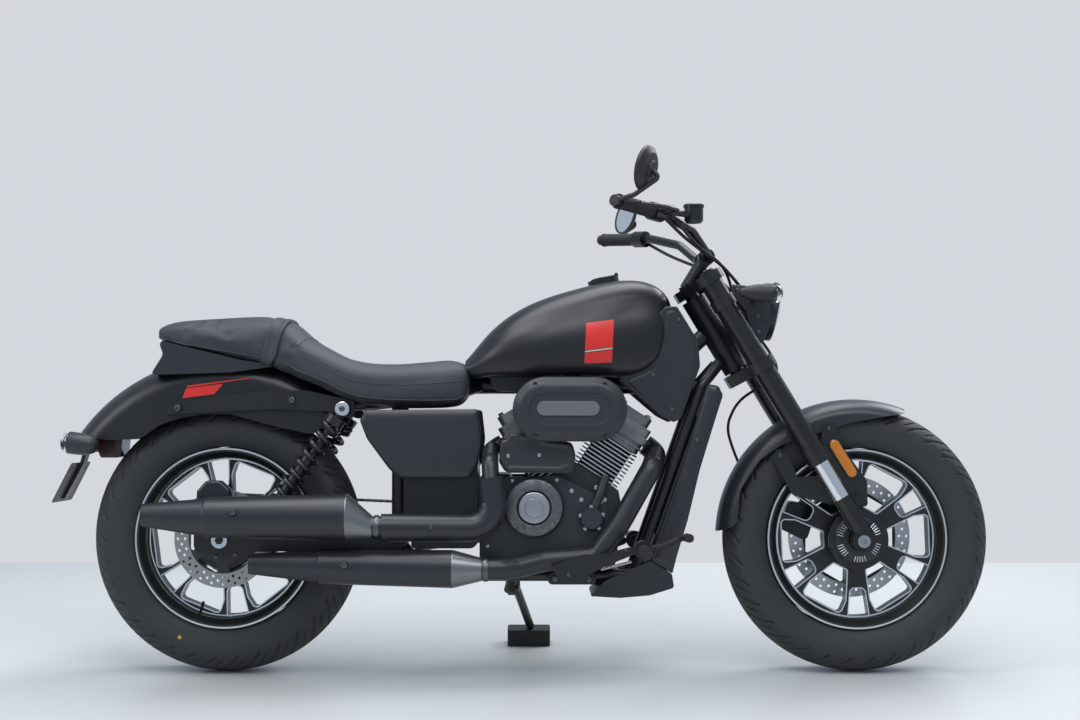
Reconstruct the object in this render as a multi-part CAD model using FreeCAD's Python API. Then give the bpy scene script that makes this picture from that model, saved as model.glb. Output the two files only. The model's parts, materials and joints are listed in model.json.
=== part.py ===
"""Cruiser motorcycle with a finned V-twin engine, parked on its side stand.

Millimetres. The machine is modelled upright in its own frame and then leaned onto its stand:
x runs forward, y to the rider's left, z up from the ground line of the two tyres.
"""

import FreeCAD
import Part
import math
import os

# ---------------------------------------------------------------- driving sizes
TANK_Z = 711.0              # flat underside of the fuel tank
LEAN = 5.0                  # degrees to the left, resting on the side stand
WHEELBASE = 1520.0
RAKE = 31.0                 # degrees from the vertical
YOKE_OFFSET = 45.0          # fork legs ahead of the steering axis
AXLE_SETBACK = 12.0         # front axle behind the fork legs' line
FORK_HALF = 105.0           # half the distance between the fork legs

FRONT_TYRE_R = 320.0        # 130/90-16
FRONT_TYRE_W = 130.0
FRONT_RIM_HALF = 40.0       # half the width between the flanges
REAR_TYRE_R = 323.0         # 150/80-16
REAR_TYRE_W = 150.0
REAR_RIM_HALF = 54.0
BEAD_R = 206.0
RIM_LIP = 11.0              # flange height over the bead
CROWN_SHARE = 0.56          # tyre crown radius as a share of its width

SEAT = 0.2                  # clearance of a piece that sits on a round seat
RUN = 0.08                  # radial running clearance of a turning piece
CLEAR = 5.0                 # least gap between pieces that move past each other

CRANK_X, CRANK_Z = 76.0, 395.0
FRONT_TILT = 33.0           # degrees forward
REAR_TILT = 31.0            # degrees back
DECK = 95.0                 # crankshaft to the cylinder decks
CASE_HALF = 95.0            # half the width of the crankcase

CRADLE_HALF = 72.0          # half the distance between the lower frame rails
CRADLE_TUBE_R = 14.0
SPINE_R = 20.0
RAIL_R = 11.0

COS_LEAN = math.cos(math.radians(LEAN))
COS_RAKE = math.cos(math.radians(RAKE))
SIN_RAKE = math.sin(math.radians(RAKE))


def axle_height(radius, width):
    """Height of an axle whose round-crowned tyre touches the ground while leaned."""
    crown = CROWN_SHARE * width
    return radius - crown + crown / COS_LEAN


def pt(x, y, z):
    return FreeCAD.Vector(x, y, z)


FRONT_AXLE = pt(WHEELBASE / 2, 0, axle_height(FRONT_TYRE_R, FRONT_TYRE_W))
REAR_AXLE = pt(-WHEELBASE / 2, 0, axle_height(REAR_TYRE_R, REAR_TYRE_W))
ACROSS = pt(0, 1, 0)
AHEAD = pt(COS_RAKE, 0, SIN_RAKE)       # square to the fork, forward
UP_FORK = pt(-SIN_RAKE, 0, COS_RAKE)    # along the fork, upward
STEER_FOOT = FRONT_AXLE - AHEAD * (YOKE_OFFSET - AXLE_SETBACK)


def on_fork(ahead, left, up):
    """Point in the steering frame: ahead of the axis, to the left, and up from the axle."""
    return STEER_FOOT + AHEAD * ahead + ACROSS * left + UP_FORK * up


# Axle places for which the other points of front end and tail are drawn; the points move with the axles.
DRAWN_FRONT = pt(760, 0, 320.278084)
DRAWN_REAR = pt(-760, 0, 323.320866)


def nose_pt(x, y, z):
    """Point of the front end, carried along when the front axle moves."""
    return FRONT_AXLE + (pt(x, y, z) - DRAWN_FRONT)


def tail_pt(x, y, z):
    """Point of the tail, carried along when the rear axle moves."""
    return REAR_AXLE + (pt(x, y, z) - DRAWN_REAR)


def carried(rows, place):
    """Outline rows (x, z, corner radius) carried along by the front end or the tail."""
    return [(place(x, 0, z).x, place(x, 0, z).z, r) for x, z, r in rows]


# ---------------------------------------------------------------- shape helpers
def corner_wire(corners):
    """Closed wire through (point, corner radius) rows, with each corner rounded."""
    ends = []
    count = len(corners)
    for i in range(count):
        here, radius = corners[i]
        to_last = (corners[i - 1][0] - here).normalize()
        to_next = (corners[(i + 1) % count][0] - here).normalize()
        if radius <= 0:
            ends.append((here, None, here))
            continue
        half = to_last.getAngle(to_next) / 2
        back = radius / math.tan(half)
        middle = (to_last + to_next).normalize()
        centre = here + middle * (radius / math.sin(half))
        ends.append((here + to_last * back, centre - middle * radius, here + to_next * back))
    edges = []
    for i in range(count):
        start, middle, stop = ends[i]
        if middle is not None:
            edges.append(Part.Arc(start, middle, stop).toShape())
        following = ends[(i + 1) % count][0]
        if stop.distanceToPoint(following) > 1e-6:
            edges.append(Part.LineSegment(stop, following).toShape())
    return Part.Wire(edges)


def side_wire(rows, y=0.0):
    """Closed wire in the side view, from (x, z, corner radius) rows."""
    return corner_wire([(pt(x, y, z), r) for x, z, r in rows])


def side_plate(rows, y_from, y_to):
    """Plate of a side-view outline, between two y values."""
    face = Part.Face(side_wire(rows, y_from))
    return face.extrude(pt(0, y_to - y_from, 0))


def rod(start, stop, radius):
    return Part.makeCylinder(radius, start.distanceToPoint(stop), start, stop - start)


def sleeve(start, stop, outer, inner):
    return rod(start, stop, outer).cut(rod(start, stop, inner))


def cone(start, stop, r_start, r_stop):
    return Part.makeCone(r_start, r_stop, start.distanceToPoint(stop), start, stop - start)


def turned(rows, origin, axis):
    """Solid of revolution from a closed outline of (distance along the axis, radius) rows."""
    outline = [pt(r, 0, s) for s, r in rows]
    face = Part.Face(Part.makePolygon(outline + outline[:1]))
    solid = face.revolve(pt(0, 0, 0), pt(0, 0, 1), 360)
    solid.Placement = FreeCAD.Placement(origin, FreeCAD.Rotation(pt(0, 0, 1), axis))
    return solid


def bent_path(points, bend):
    """Straight runs through the points, joined by tangent arcs of one bend radius."""
    edges = []
    start = points[0]
    for last, here, following in zip(points, points[1:], points[2:]):
        to_last = (last - here).normalize()
        to_next = (following - here).normalize()
        half = to_last.getAngle(to_next) / 2
        back = bend / math.tan(half)
        middle = (to_last + to_next).normalize()
        centre = here + middle * (bend / math.sin(half))
        edges.append(Part.LineSegment(start, here + to_last * back).toShape())
        stop = here + to_next * back
        edges.append(Part.Arc(here + to_last * back, centre - middle * bend, stop).toShape())
        start = stop
    edges.append(Part.LineSegment(start, points[-1]).toShape())
    return Part.Wire(edges)


def bent_tube(points, radius, bend):
    """Round bar or tube, solid, along a bent path."""
    path = bent_path(points, bend)
    ring = Part.Wire(Part.makeCircle(radius, points[0], points[1] - points[0]))
    return path.makePipeShell([ring], True, False)


def loft(wires, ruled=False):
    return Part.makeLoft(wires, True, ruled)


def circle_at(centre, radius, axis):
    return Part.Wire(Part.makeCircle(radius, centre, axis))


def mirrored(shape):
    return shape.mirror(pt(0, 0, 0), ACROSS)


def both_sides(shape):
    return [shape, mirrored(shape)]


def fused(first, *others):
    return first.fuse(list(others)).removeSplitter()


# ---------------------------------------------------------------- wheels
SPOKES = 6
WEB_HALF = 20.0             # half the thickness of the spokes
RIM_INNER_R = 194.0
HUB_R = 36.0
HUB_FLANGE_R = 72.0
AXLE_R = 10.0


def tyre(axle, radius, width, rim_half):
    """Closed tyre section, turned: crown arc, two sidewall arcs and the bead between the flanges."""
    crown = CROWN_SHARE * width
    shoulder_y = 0.44 * width
    shoulder_r = radius - crown + math.sqrt(crown ** 2 - shoulder_y ** 2)
    lip_r = BEAD_R + RIM_LIP + 1
    bulge_r = 0.5 * (shoulder_r + lip_r) + 6
    at = lambda y, r: axle + pt(0, y, r)
    edges = [
        Part.LineSegment(at(-rim_half, BEAD_R), at(rim_half, BEAD_R)).toShape(),
        Part.LineSegment(at(rim_half, BEAD_R), at(rim_half, lip_r)).toShape(),
        Part.Arc(at(rim_half, lip_r), at(width / 2, bulge_r), at(shoulder_y, shoulder_r)).toShape(),
        Part.Arc(at(shoulder_y, shoulder_r), at(0, radius), at(-shoulder_y, shoulder_r)).toShape(),
        Part.Arc(at(-shoulder_y, shoulder_r), at(-width / 2, bulge_r), at(-rim_half, lip_r)).toShape(),
        Part.LineSegment(at(-rim_half, lip_r), at(-rim_half, BEAD_R)).toShape(),
    ]
    return Part.Face(Part.Wire(edges)).revolve(axle, ACROSS, 360)


def polar(axle, radius, degrees, y=0.0):
    a = math.radians(degrees)
    return axle + pt(radius * math.cos(a), y, radius * math.sin(a))


def spoke_window(axle, angle):
    """Opening between two spokes: (radius, degrees off its middle, corner radius) rows."""
    rows = [(80, -13, 5), (80, 13, 5), (152, 18.5, 14), (184, 16, 9), (184, -16, 9), (152, -18.5, 14)]
    wire = corner_wire([(polar(axle, r, angle + a, -WEB_HALF - 1), c) for r, a, c in rows])
    return Part.Face(wire).extrude(pt(0, 2 * WEB_HALF + 2, 0))


def spoke_slot(axle, angle):
    """Opening inside a forked spoke, from its root to the rim."""
    rows = [(122, -8, 12), (122, 8, 12), (190, 7.5, 4), (190, -7.5, 4)]
    wire = corner_wire([(polar(axle, r, angle + a, -WEB_HALF - 1), c) for r, a, c in rows])
    return Part.Face(wire).extrude(pt(0, 2 * WEB_HALF + 2, 0))


def rim(axle, rim_half, hub_half, first_spoke):
    """Cast rim: barrel with flanges, six forked spokes and a hub bored for the axle."""
    lip = rim_half + 7
    seat = rim_half + SEAT
    barrel = turned(
        [(-lip, BEAD_R + RIM_LIP), (-seat, BEAD_R + RIM_LIP), (-seat, BEAD_R - SEAT), (seat, BEAD_R - SEAT),
         (seat, BEAD_R + RIM_LIP), (lip, BEAD_R + RIM_LIP), (lip, BEAD_R + 1), (rim_half - 8, RIM_INNER_R),
         (8 - rim_half, RIM_INNER_R), (-lip, BEAD_R + 1)], axle, ACROSS)
    web = turned([(-WEB_HALF, HUB_R - 2), (WEB_HALF, HUB_R - 2), (WEB_HALF, RIM_INNER_R + 2),
                  (-WEB_HALF, RIM_INNER_R + 2)], axle, ACROSS)
    for i in range(SPOKES):
        angle = first_spoke + i * 360 / SPOKES
        web = web.cut(spoke_slot(axle, angle))
        web = web.cut(spoke_window(axle, angle + 180 / SPOKES))
    hub = turned(
        [(-hub_half, AXLE_R + RUN), (hub_half, AXLE_R + RUN), (hub_half, HUB_FLANGE_R),
         (hub_half - 9, HUB_FLANGE_R),
         (hub_half - 16, HUB_R), (16 - hub_half, HUB_R), (9 - hub_half, HUB_FLANGE_R),
         (-hub_half, HUB_FLANGE_R)],
        axle, ACROSS)
    return fused(barrel, web, hub)


FRONT_HUB_HALF = 64.0
REAR_HUB_HALF = 78.0
DISC_T = 4.5
FRONT_DISC_R = 150.0
FRONT_DISC_INNER_R = 116.0
REAR_DISC_R = 117.0
REAR_DISC_INNER_R = 84.0
DISC_BORE_R = 30.0
CHAIN_Y = 92.0
CHAIN_W = 12.0
SPROCKET_R = 94.0
SPROCKET_TEETH = 44


DRILL_R = 3.4
DRILL_COLUMNS = 24


def brake_disc(axle, outer, inner, y_from, y_to):
    """Brake disc on a hub's end: a drilled, swept ring held by six arms."""
    disc = turned([(y_from, DISC_BORE_R), (y_to, DISC_BORE_R), (y_to, outer), (y_from, outer)], axle,
                  ACROSS)
    for i in range(SPOKES):
        middle = i * 360 / SPOKES
        rows = [(62, -17), (62, 17), (inner, 22), (inner, -22)]
        wire = corner_wire([(polar(axle, r, middle + a, y_from - 1), 5) for r, a in rows])
        disc = disc.cut(Part.Face(wire).extrude(pt(0, y_to - y_from + 2, 0)))
    holes = []
    for i in range(DRILL_COLUMNS):
        for share, turn in ((0.24, 0.0), (0.76, 0.0), (0.5, 0.5)):
            centre = polar(axle, inner + share * (outer - inner), (i + turn) * 360 / DRILL_COLUMNS,
                           y_from - 1)
            holes.append(rod(centre, centre + pt(0, y_to - y_from + 2, 0), DRILL_R))
    return disc.cut(holes)


def sprocket():
    """Rear sprocket: a toothed plate with a trapezoid tooth for each link, on a carrier."""
    y_from = CHAIN_Y - 3
    teeth = []
    pitch = 360 / SPROCKET_TEETH
    for i in range(SPROCKET_TEETH):
        for r, d in ((SPROCKET_R - 6, -0.36), (SPROCKET_R, -0.14), (SPROCKET_R, 0.14),
                     (SPROCKET_R - 6, 0.36)):
            teeth.append(polar(REAR_AXLE, r, (i + d) * pitch, y_from))
    plate = Part.Face(Part.makePolygon(teeth + teeth[:1])).extrude(pt(0, 6, 0))
    bore = rod(REAR_AXLE + pt(0, y_from - 1, 0), REAR_AXLE + pt(0, y_from + 7, 0), DISC_BORE_R)
    carrier = sleeve(REAR_AXLE + pt(0, REAR_HUB_HALF, 0), REAR_AXLE + pt(0, y_from, 0), 60, DISC_BORE_R)
    return fused(plate.cut(bore), carrier)


# ---------------------------------------------------------------- frame
HEAD_LOW, HEAD_HIGH = 497.0, 700.0      # ends of the head tube, up the fork from the axle
HEAD_R = 31.0
STEM_R = 18.0
PIVOT = pt(-345, 0, 330)                # swingarm pivot
PIN_R = 10.0
RAIL_Z = 236.0
DOWN_TOP = pt(384, 0, 690)
DOWN_LOW = pt(221, 0, RAIL_Z)
ARM_IN, ARM_OUT = 100.0, 126.0          # inner and outer faces of the swingarm's legs
FENDER_HALF = 96.0                      # rear fender's half width
FENDER_R = 440.0
SHEET = 3.0
STRUT_IN = FENDER_HALF + SEAT
STRUT_OUT = STRUT_IN + 11.0
SHOCK_Y = 132.0
SHOCK_LUG_Y = 114.0         # outer face of the swingarm's shock lugs
SHOCK_TOP = pt(-470, SHOCK_Y, 633)
SHOCK_LOW = pt(-650, SHOCK_Y, 372)


def frame_spine():
    """Head tube, backbone under the tank and the two rails that carry the seat."""
    head = sleeve(on_fork(0, 0, HEAD_LOW), on_fork(0, 0, HEAD_HIGH), HEAD_R, STEM_R + RUN)
    neck = on_fork(-STEM_R - 8, 0, 0.5 * (HEAD_LOW + HEAD_HIGH) + 10)
    spine_z = TANK_Z - SPINE_R - SEAT
    parts = [bent_tube([neck, pt(262, 0, spine_z), pt(-184, 0, spine_z)], SPINE_R, 60)]
    rail_y = STRUT_IN - SEAT - RAIL_R
    for side in (-1, 1):
        rail = [pt(-150, side * 14, 686), pt(-240, side * rail_y, 660), pt(-452, side * rail_y, 640)]
        parts.append(bent_tube(rail, RAIL_R, 40))
    parts.append(rod(pt(-300, -rail_y, 654.3), pt(-300, rail_y, 654.3), 9))
    return fused(head, *parts)


def frame_cradle():
    """Two loops of tube under the engine, with cross tubes, pivot bosses and the stand's pin."""
    parts = []
    rail_y = STRUT_IN - SEAT - RAIL_R
    for side in (-1, 1):
        y = side * CRADLE_HALF
        loop = [pt(428, side * 40, 742), DOWN_TOP + ACROSS * y, DOWN_LOW + ACROSS * y, pt(-290, y, RAIL_Z),
                pt(PIVOT.x, y, 300), pt(PIVOT.x, y, 590), pt(PIVOT.x, side * rail_y, 650)]
        parts.append(bent_tube(loop, CRADLE_TUBE_R, 32))
        parts.append(rod(pt(PIVOT.x, y - 17, PIVOT.z), pt(PIVOT.x, y + 17, PIVOT.z), 26))
    for x, z, r in ((180, RAIL_Z, 11), (-240, RAIL_Z, 12), (PIVOT.x, 470, 11),
                    (DOWN_TOP.x, DOWN_TOP.z, 12)):
        parts.append(rod(pt(x, -CRADLE_HALF, z), pt(x, CRADLE_HALF, z), r))
    body = fused(parts[0], *(parts[1:] + [stand_mount()]))
    body = body.cut(rod(pt(PIVOT.x, -120, PIVOT.z), pt(PIVOT.x, 120, PIVOT.z), PIN_R + SEAT))
    for side in (-1, 1):
        body = body.cut(rod(pt(-242, side * rail_y, 659.8), pt(-452, side * rail_y, 640), RAIL_R + SEAT))
        body = body.cut(Part.makeBox(60, 40, 60, pt(PIVOT.x - 30, side * rail_y - 20, 650)))
    return body.cut(rod(on_fork(0, 0, HEAD_LOW - 10), on_fork(0, 0, HEAD_HIGH + 10), HEAD_R + SEAT))


def swingarm():
    """Box-section fork behind the engine, bored for its pivot pin and the rear axle."""
    rows = [(PIVOT.x + 28, PIVOT.z + 28, 24), (PIVOT.x + 28, PIVOT.z - 28, 24), (-640, 296, 60),
            (REAR_AXLE.x - 62, 292, 20), (REAR_AXLE.x - 62, 352, 20), (-620, 348, 60)]
    parts = [side_plate(rows, ARM_IN, ARM_OUT), side_plate(rows, -ARM_OUT, -ARM_IN)]
    bridge = side_plate([(-394, 352, 8), (-394, 308, 8), (-424, 308, 8), (-424, 352, 8)], -ARM_IN, ARM_IN)
    for side in (-1, 1):
        parts.append(side_plate([(-626, 336, 6), (-674, 336, 6), (-664, 388, 10), (-636, 388, 10)],
                                side * (ARM_IN + 2), side * SHOCK_LUG_Y))
    body = fused(bridge, *parts)
    body = body.cut(rod(pt(PIVOT.x, -130, PIVOT.z), pt(PIVOT.x, 130, PIVOT.z), PIN_R + SEAT))
    body = body.cut(rod(REAR_AXLE + pt(0, -130, 0), REAR_AXLE + pt(0, 130, 0), AXLE_R + SEAT))
    return body


def rear_pins():
    """The rear axle with its spacers, and the swingarm's pivot pin."""
    axle = axle_bolt(REAR_AXLE, ARM_OUT + SEAT, [(REAR_HUB_HALF + 0.5, ARM_IN - SEAT, 17),
                                                (-REAR_HUB_HALF - DISC_T - 4.3, -REAR_HUB_HALF - 0.5, 17)])
    return [axle, pivot_pin()]


def pivot_pin():
    pin = rod(pt(PIVOT.x, -ARM_OUT - 6, PIVOT.z), pt(PIVOT.x, ARM_OUT + 6, PIVOT.z), PIN_R)
    caps = [rod(pt(PIVOT.x, s * (ARM_OUT + SEAT), PIVOT.z), pt(PIVOT.x, s * (ARM_OUT + 8), PIVOT.z),
                16) for s in (-1, 1)]
    return fused(pin, *caps)


def hex_socket(centre, across, depth, direction):
    """Prism that cuts a hexagon socket into a bolt's head."""
    rows = []
    for i in range(6):
        a = math.radians(60 * i)
        rows.append(centre + pt(across / 2 * math.cos(a), 0, across / 2 * math.sin(a)))
    return Part.Face(Part.makePolygon(rows + rows[:1])).extrude(direction * depth)


def axle_bolt(axle, reach, collars):
    """Axle with a socket head on the right, a nut on the left and its spacers."""
    body = rod(axle + pt(0, -reach, 0), axle + pt(0, reach + 10, 0), AXLE_R)
    head = rod(axle + pt(0, -reach - 8, 0), axle + pt(0, -reach, 0), 15)
    nut = rod(axle + pt(0, reach, 0), axle + pt(0, reach + 8, 0), 16)
    parts = [head, nut]
    for y_from, y_to, r in collars:
        parts.append(rod(axle + pt(0, y_from, 0), axle + pt(0, y_to, 0), r))
    bolt = fused(body, *parts)
    return bolt.cut(hex_socket(axle + pt(0, -reach - 9, 0), 14, 9, ACROSS))


def shocks():
    """Damper with an eye at each end and a collar under each end of its spring."""
    along = (SHOCK_TOP - SHOCK_LOW).normalize()
    length = SHOCK_TOP.distanceToPoint(SHOCK_LOW)
    body = fused(
        rod(SHOCK_LOW, SHOCK_LOW + along * (0.6 * length), 15),
        rod(SHOCK_LOW + along * (0.5 * length), SHOCK_TOP, 7),
        rod(SHOCK_LOW + along * 28, SHOCK_LOW + along * 38, 24),
        rod(SHOCK_TOP - along * 44, SHOCK_TOP - along * 24, 24),
        rod(pt(SHOCK_LOW.x, SHOCK_LUG_Y + SEAT, SHOCK_LOW.z), SHOCK_LOW + ACROSS * 12, 17),
        rod(pt(SHOCK_TOP.x, STRUT_OUT + SEAT, SHOCK_TOP.z), SHOCK_TOP + ACROSS * 12, 17),
        rod(SHOCK_LOW, SHOCK_LOW + ACROSS * 19, 11), rod(SHOCK_TOP, SHOCK_TOP + ACROSS * 19, 11))
    return both_sides(body)


def shock_springs():
    along = (SHOCK_TOP - SHOCK_LOW).normalize()
    length = SHOCK_TOP.distanceToPoint(SHOCK_LOW)
    coils = 9
    start, stop = 38 + SEAT, length - 44 - SEAT
    pitch = (stop - start) / coils
    rows = [(start, 16.5)]
    for i in range(coils):
        s = start + i * pitch
        rows += [(s, 21), (s + 0.25 * pitch, 24), (s + 0.75 * pitch, 24)]
    rows += [(stop, 21), (stop, 16.5)]
    return both_sides(turned(rows, SHOCK_LOW, along))


# ---------------------------------------------------------------- rear bodywork
def arch(axle, half, top, drop, shoulder, from_deg, to_deg):
    """Solid swept about the axle under an elliptic crown, between two angles of the side view."""
    middle = pt(0, 0, top - shoulder)
    crown = Part.Ellipse(middle - ACROSS * half, middle + pt(0, 0, shoulder), middle)
    foot = [pt(0, -half, top - shoulder), pt(0, -half, top - drop), pt(0, half, top - drop),
            pt(0, half, top - shoulder)]
    edges = [Part.LineSegment(a, b).toShape() for a, b in zip(foot, foot[1:])]
    for from_turn, to_turn in ((0, math.pi), (math.pi, 2 * math.pi)):
        half_crown = Part.ArcOfEllipse(crown, from_turn, to_turn)
        if half_crown.value(0.5 * (from_turn + to_turn)).z > middle.z:
            edges.append(half_crown.toShape())
    face = Part.Face(Part.Wire(Part.sortEdges(edges)[0]))
    face.rotate(pt(0, 0, 0), ACROSS, 90 - from_deg)
    face.translate(axle)
    return face.revolve(axle, ACROSS, from_deg - to_deg)


FENDER_EDGE = carried([(-1150, 700, 0), (-1137, 566, 0), (-1078, 564, 12), (-1035, 559, 20),
                       (-958, 561, 40),
               (-911, 595, 40),
               (-863, 611, 60), (-804, 621, 60), (-744, 621, 60), (-637, 592, 60), (-553, 573, 40),
               (-466, 594, 8),
               (-440, 640, 0), (-440, 900, 0), (-1150, 900, 0)], tail_pt)


def rear_fender():
    outer = arch(REAR_AXLE, FENDER_HALF, FENDER_R, 160, 62, 45.5, 147)
    inner = arch(REAR_AXLE, FENDER_HALF - SHEET, FENDER_R - SHEET, 164, 62 - SHEET, 44, 149)
    return outer.cut(inner).common(side_plate(FENDER_EDGE, -120, 120))


def fender_envelope(gap):
    return arch(REAR_AXLE, FENDER_HALF + gap, FENDER_R + gap, 160, 62 + gap, 44, 150)


def fender_struts():
    """Flat bars that carry the fender and the shocks' upper ends."""
    rows = [(-905, 619, 6), (-886, 646, 14), (-741, 667, 60), (-640, 680, 60), (-556, 676, 60),
            (-446, 652, 12),
            (-446, 606, 12), (-505, 626, 40), (-622, 634, 60)]
    parts = []
    for side in (-1, 1):
        plate = side_plate(rows, side * STRUT_IN, side * STRUT_OUT)
        parts.append(plate)
    return parts


PAD_ROWS = [(-946, 806, 8), (-932, 830, 10), (-836, 842, 80), (-700, 852, 60), (-612, 848, 12),
            (-598, 832, 8),
            (-616, 735, 8), (-717, 750, 60), (-871, 787, 60)]


def passenger_seat():
    pad = side_plate(PAD_ROWS, -122, 122)
    edges = [e for e in pad.Edges if abs(e.CenterOfMass.y) > 121 and e.CenterOfMass.z > 800]
    pad = pad.makeFillet(14, edges)
    return pad.cut(fender_envelope(CLEAR))


def rider_seat():
    rows = [(-595, 828, 8), (-540, 786, 60), (-470, 751, 60), (-400, 744, 60), (-260, 746, 60),
            (-190, 750, 14),
            (-190, 676, 16), (-217, 650, 20), (-300, 645, 60), (-406, 645, 60), (-520, 682, 60),
            (-613, 728, 8)]
    pad = side_plate(rows, -142, 142)
    edges = [e for e in pad.Edges if abs(e.CenterOfMass.y) > 141 and e.CenterOfMass.z > 735]
    pad = pad.makeFillet(18, edges)
    return pad.cut(fender_envelope(CLEAR)).cut(Part.makeBox(280, 204, 49.7, pt(-460, -102, 620))).cut(
        Part.makeBox(76, 204, 80, pt(-256, -102, 620)))


def tail_cowl():
    """Base between the passenger's pad and the fender, closed round the fender's crown."""
    rows = [(-914, 796, 10), (-902, 763, 16), (-932, 714, 6), (-743, 720, 20), (-640, 734, 8),
            (-640, 745, 4),
            (-720, 760, 20), (-870, 796, 30)]
    base = side_plate(rows, -108, 108)
    pad = side_plate(PAD_ROWS, -125, 125)
    pad.translate(pt(0, 0, -SEAT))
    return base.cut(fender_envelope(SEAT)).cut(pad)


TAIL_ARM = tail_pt(-1091, 0, 555)
PLATE_TOP = tail_pt(-1122, 0, 503)
PLATE_LOW = tail_pt(-1166, 0, 415)


def tail_bracket():
    """Hanger under the fender's tip that holds the lamp, the signals and the plate."""
    rows = carried([(-1082, 660, 0), (-1096, 560, 8), (-1114, 500, 8),
            (-1158, 417, 2),
            (-1166, 415, 0), (-1122, 503, 0), (-1112, 545, 8), (-1100, 660, 0)], tail_pt)
    gap = SHEET + SEAT
    inside = arch(REAR_AXLE, FENDER_HALF - gap, FENDER_R - gap, 320, 62 - gap, 120, 178)
    hanger = side_plate(rows, -16, 16).common(inside)
    base = side_plate(carried([(-1012, 566, 3), (-1012, 580, 3), (-1092, 580, 3), (-1101, 566, 3),
                               (-1098, 548, 3),
                               (-1083, 548, 3), (-1083, 566, 0)], tail_pt), -44, 44)
    arms = rod(TAIL_ARM - ACROSS * 104, TAIL_ARM + ACROSS * 104, 6)
    return fused(hanger, base, arms)


def tail_lamp():
    rows = carried([(-1082, 565.8, 4), (-1012, 565.8, 4), (-1018, 516, 8), (-1066, 516, 8)], tail_pt)
    return side_plate(rows, -42, 42)


def number_plate():
    along = (PLATE_LOW - PLATE_TOP).normalize()
    out = pt(along.z, 0, -along.x)
    start = PLATE_TOP + out * SEAT
    corners = [start - ACROSS * 85, start + ACROSS * 85, start + ACROSS * 85 + along * 105,
               start - ACROSS * 85 + along * 105]
    plate = Part.Face(corner_wire([(c, 8) for c in corners])).extrude(out * 2)
    for side in (-1, 1):
        hole = start + ACROSS * side * PLATE_HOLE_Y + along * 14
        plate = plate.cut(rod(hole - out * 4, hole + out * 4, PLATE_HOLE_R))
    return plate


PLATE_HOLE_Y = 60.0
PLATE_HOLE_R = 3.5


def bullet(nose, length, radius, direction):
    """Bullet-shaped lamp body with its open face at the nose."""
    d = direction
    rows = [(-7, 0), (-7, radius - 8), (0, radius - 2), (3, radius), (0.45 * length, radius - 1),
            (0.72 * length, radius * 0.74),
            (0.92 * length, radius * 0.36), (length, 0)]
    return turned(rows, nose, d * -1)


SIGNAL_NOSE = tail_pt(-1116, 126, 553)
SIGNAL_WAY = pt(-0.99, 0, 0.12)
SIGNAL_R = 22.0


def rear_signals():
    """Bullet lamps held on the ends of the hanger's cross arm."""
    body = bullet(SIGNAL_NOSE, 62, SIGNAL_R, SIGNAL_WAY)
    body = body.fuse(rod(TAIL_ARM + ACROSS * (104 + SEAT), TAIL_ARM + ACROSS * 116, 6))
    return both_sides(body.removeSplitter())


# ---------------------------------------------------------------- tank
TANK_ROWS = [
    # x, underside, top, half width
    (313, 808, 892, 72), (298, 776, 922, 98), (262, 734, 949, 122), (190, 712, 957, 142),
             (70, 711, 931, 150),
    (-50, 711, 883, 142), (-130, 711, 818, 118), (-184, 716, 752, 84)]


def tank_section(x, low, high, half):
    """Rounded six-cornered section, widest a little under half its height."""
    h = high - low
    rows = [(0.84 * half, low, 0.25), (half, low + 0.4 * h, 0.62), (0.6 * half, high - 0.05 * h, 0.36)]
    spots = [(pt(x, y, z), share) for y, z, share in rows] + [(pt(x, -y, z), share) for y, z,
                                                              share in reversed(rows)]
    corners = []
    for i in range(6):
        here, share = spots[i]
        last, following = spots[i - 1][0], spots[(i + 1) % 6][0]
        half_turn = (last - here).getAngle(following - here) / 2
        reach = min(last.distanceToPoint(here), following.distanceToPoint(here))
        corners.append((here, share * reach * math.tan(half_turn)))
    return corner_wire(corners)


def tank_body(gap):
    """The tank's outside, grown by a gap."""
    return loft([tank_section(x, low - gap, high + gap, half + gap) for x, low, high, half in TANK_ROWS])


def fuel_tank():
    tank = tank_body(0)
    spine_z = TANK_Z - SPINE_R - SEAT
    tank = tank.cut(rod(pt(300, 0, spine_z), pt(-200, 0, spine_z), SPINE_R + SEAT))
    return tank.cut(on_cap(rod(pt(CAP_X, 0, CAP_Z), pt(CAP_X, 0, CAP_Z + 60), CAP_R + SEAT)))


CAP_X, CAP_Z, CAP_R = 154.0, 931.0, 38.0
CAP_SLOPE = 11.8            # degrees, the tank's top at its filler


def on_cap(shape):
    """Lean a shape of the filler to the slope of the tank's top."""
    shape.rotate(pt(CAP_X, 0, CAP_Z), ACROSS, -CAP_SLOPE)
    return shape


LID_R = 30.0


def fuel_cap_ring():
    """Ring of the filler cap let into the tank's top, with the ears of the lid's hinge."""
    ring = turned([(0, 0), (0, CAP_R), (21, CAP_R), (21, LID_R + 1.6), (14, LID_R + 1.6), (14, 0)],
                  pt(CAP_X, 0, CAP_Z), pt(0, 0, 1))
    for side in (-1, 1):
        ear = rod(pt(LID_HINGE_X, side * 6, LID_HINGE_Z), pt(LID_HINGE_X, side * 12, LID_HINGE_Z), 4)
        foot = Part.makeBox(8, 6, 6, pt(LID_HINGE_X - 4, min(side * 6, side * 12), LID_HINGE_Z - 6))
        ring = ring.fuse([ear, foot])
    return on_cap(ring.cut(rod(pt(LID_HINGE_X, -13, LID_HINGE_Z), pt(LID_HINGE_X, 13, LID_HINGE_Z),
                               2 + RUN)))


LID_HINGE_X = CAP_X + CAP_R - 4
LID_HINGE_Z = CAP_Z + 25.5


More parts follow.
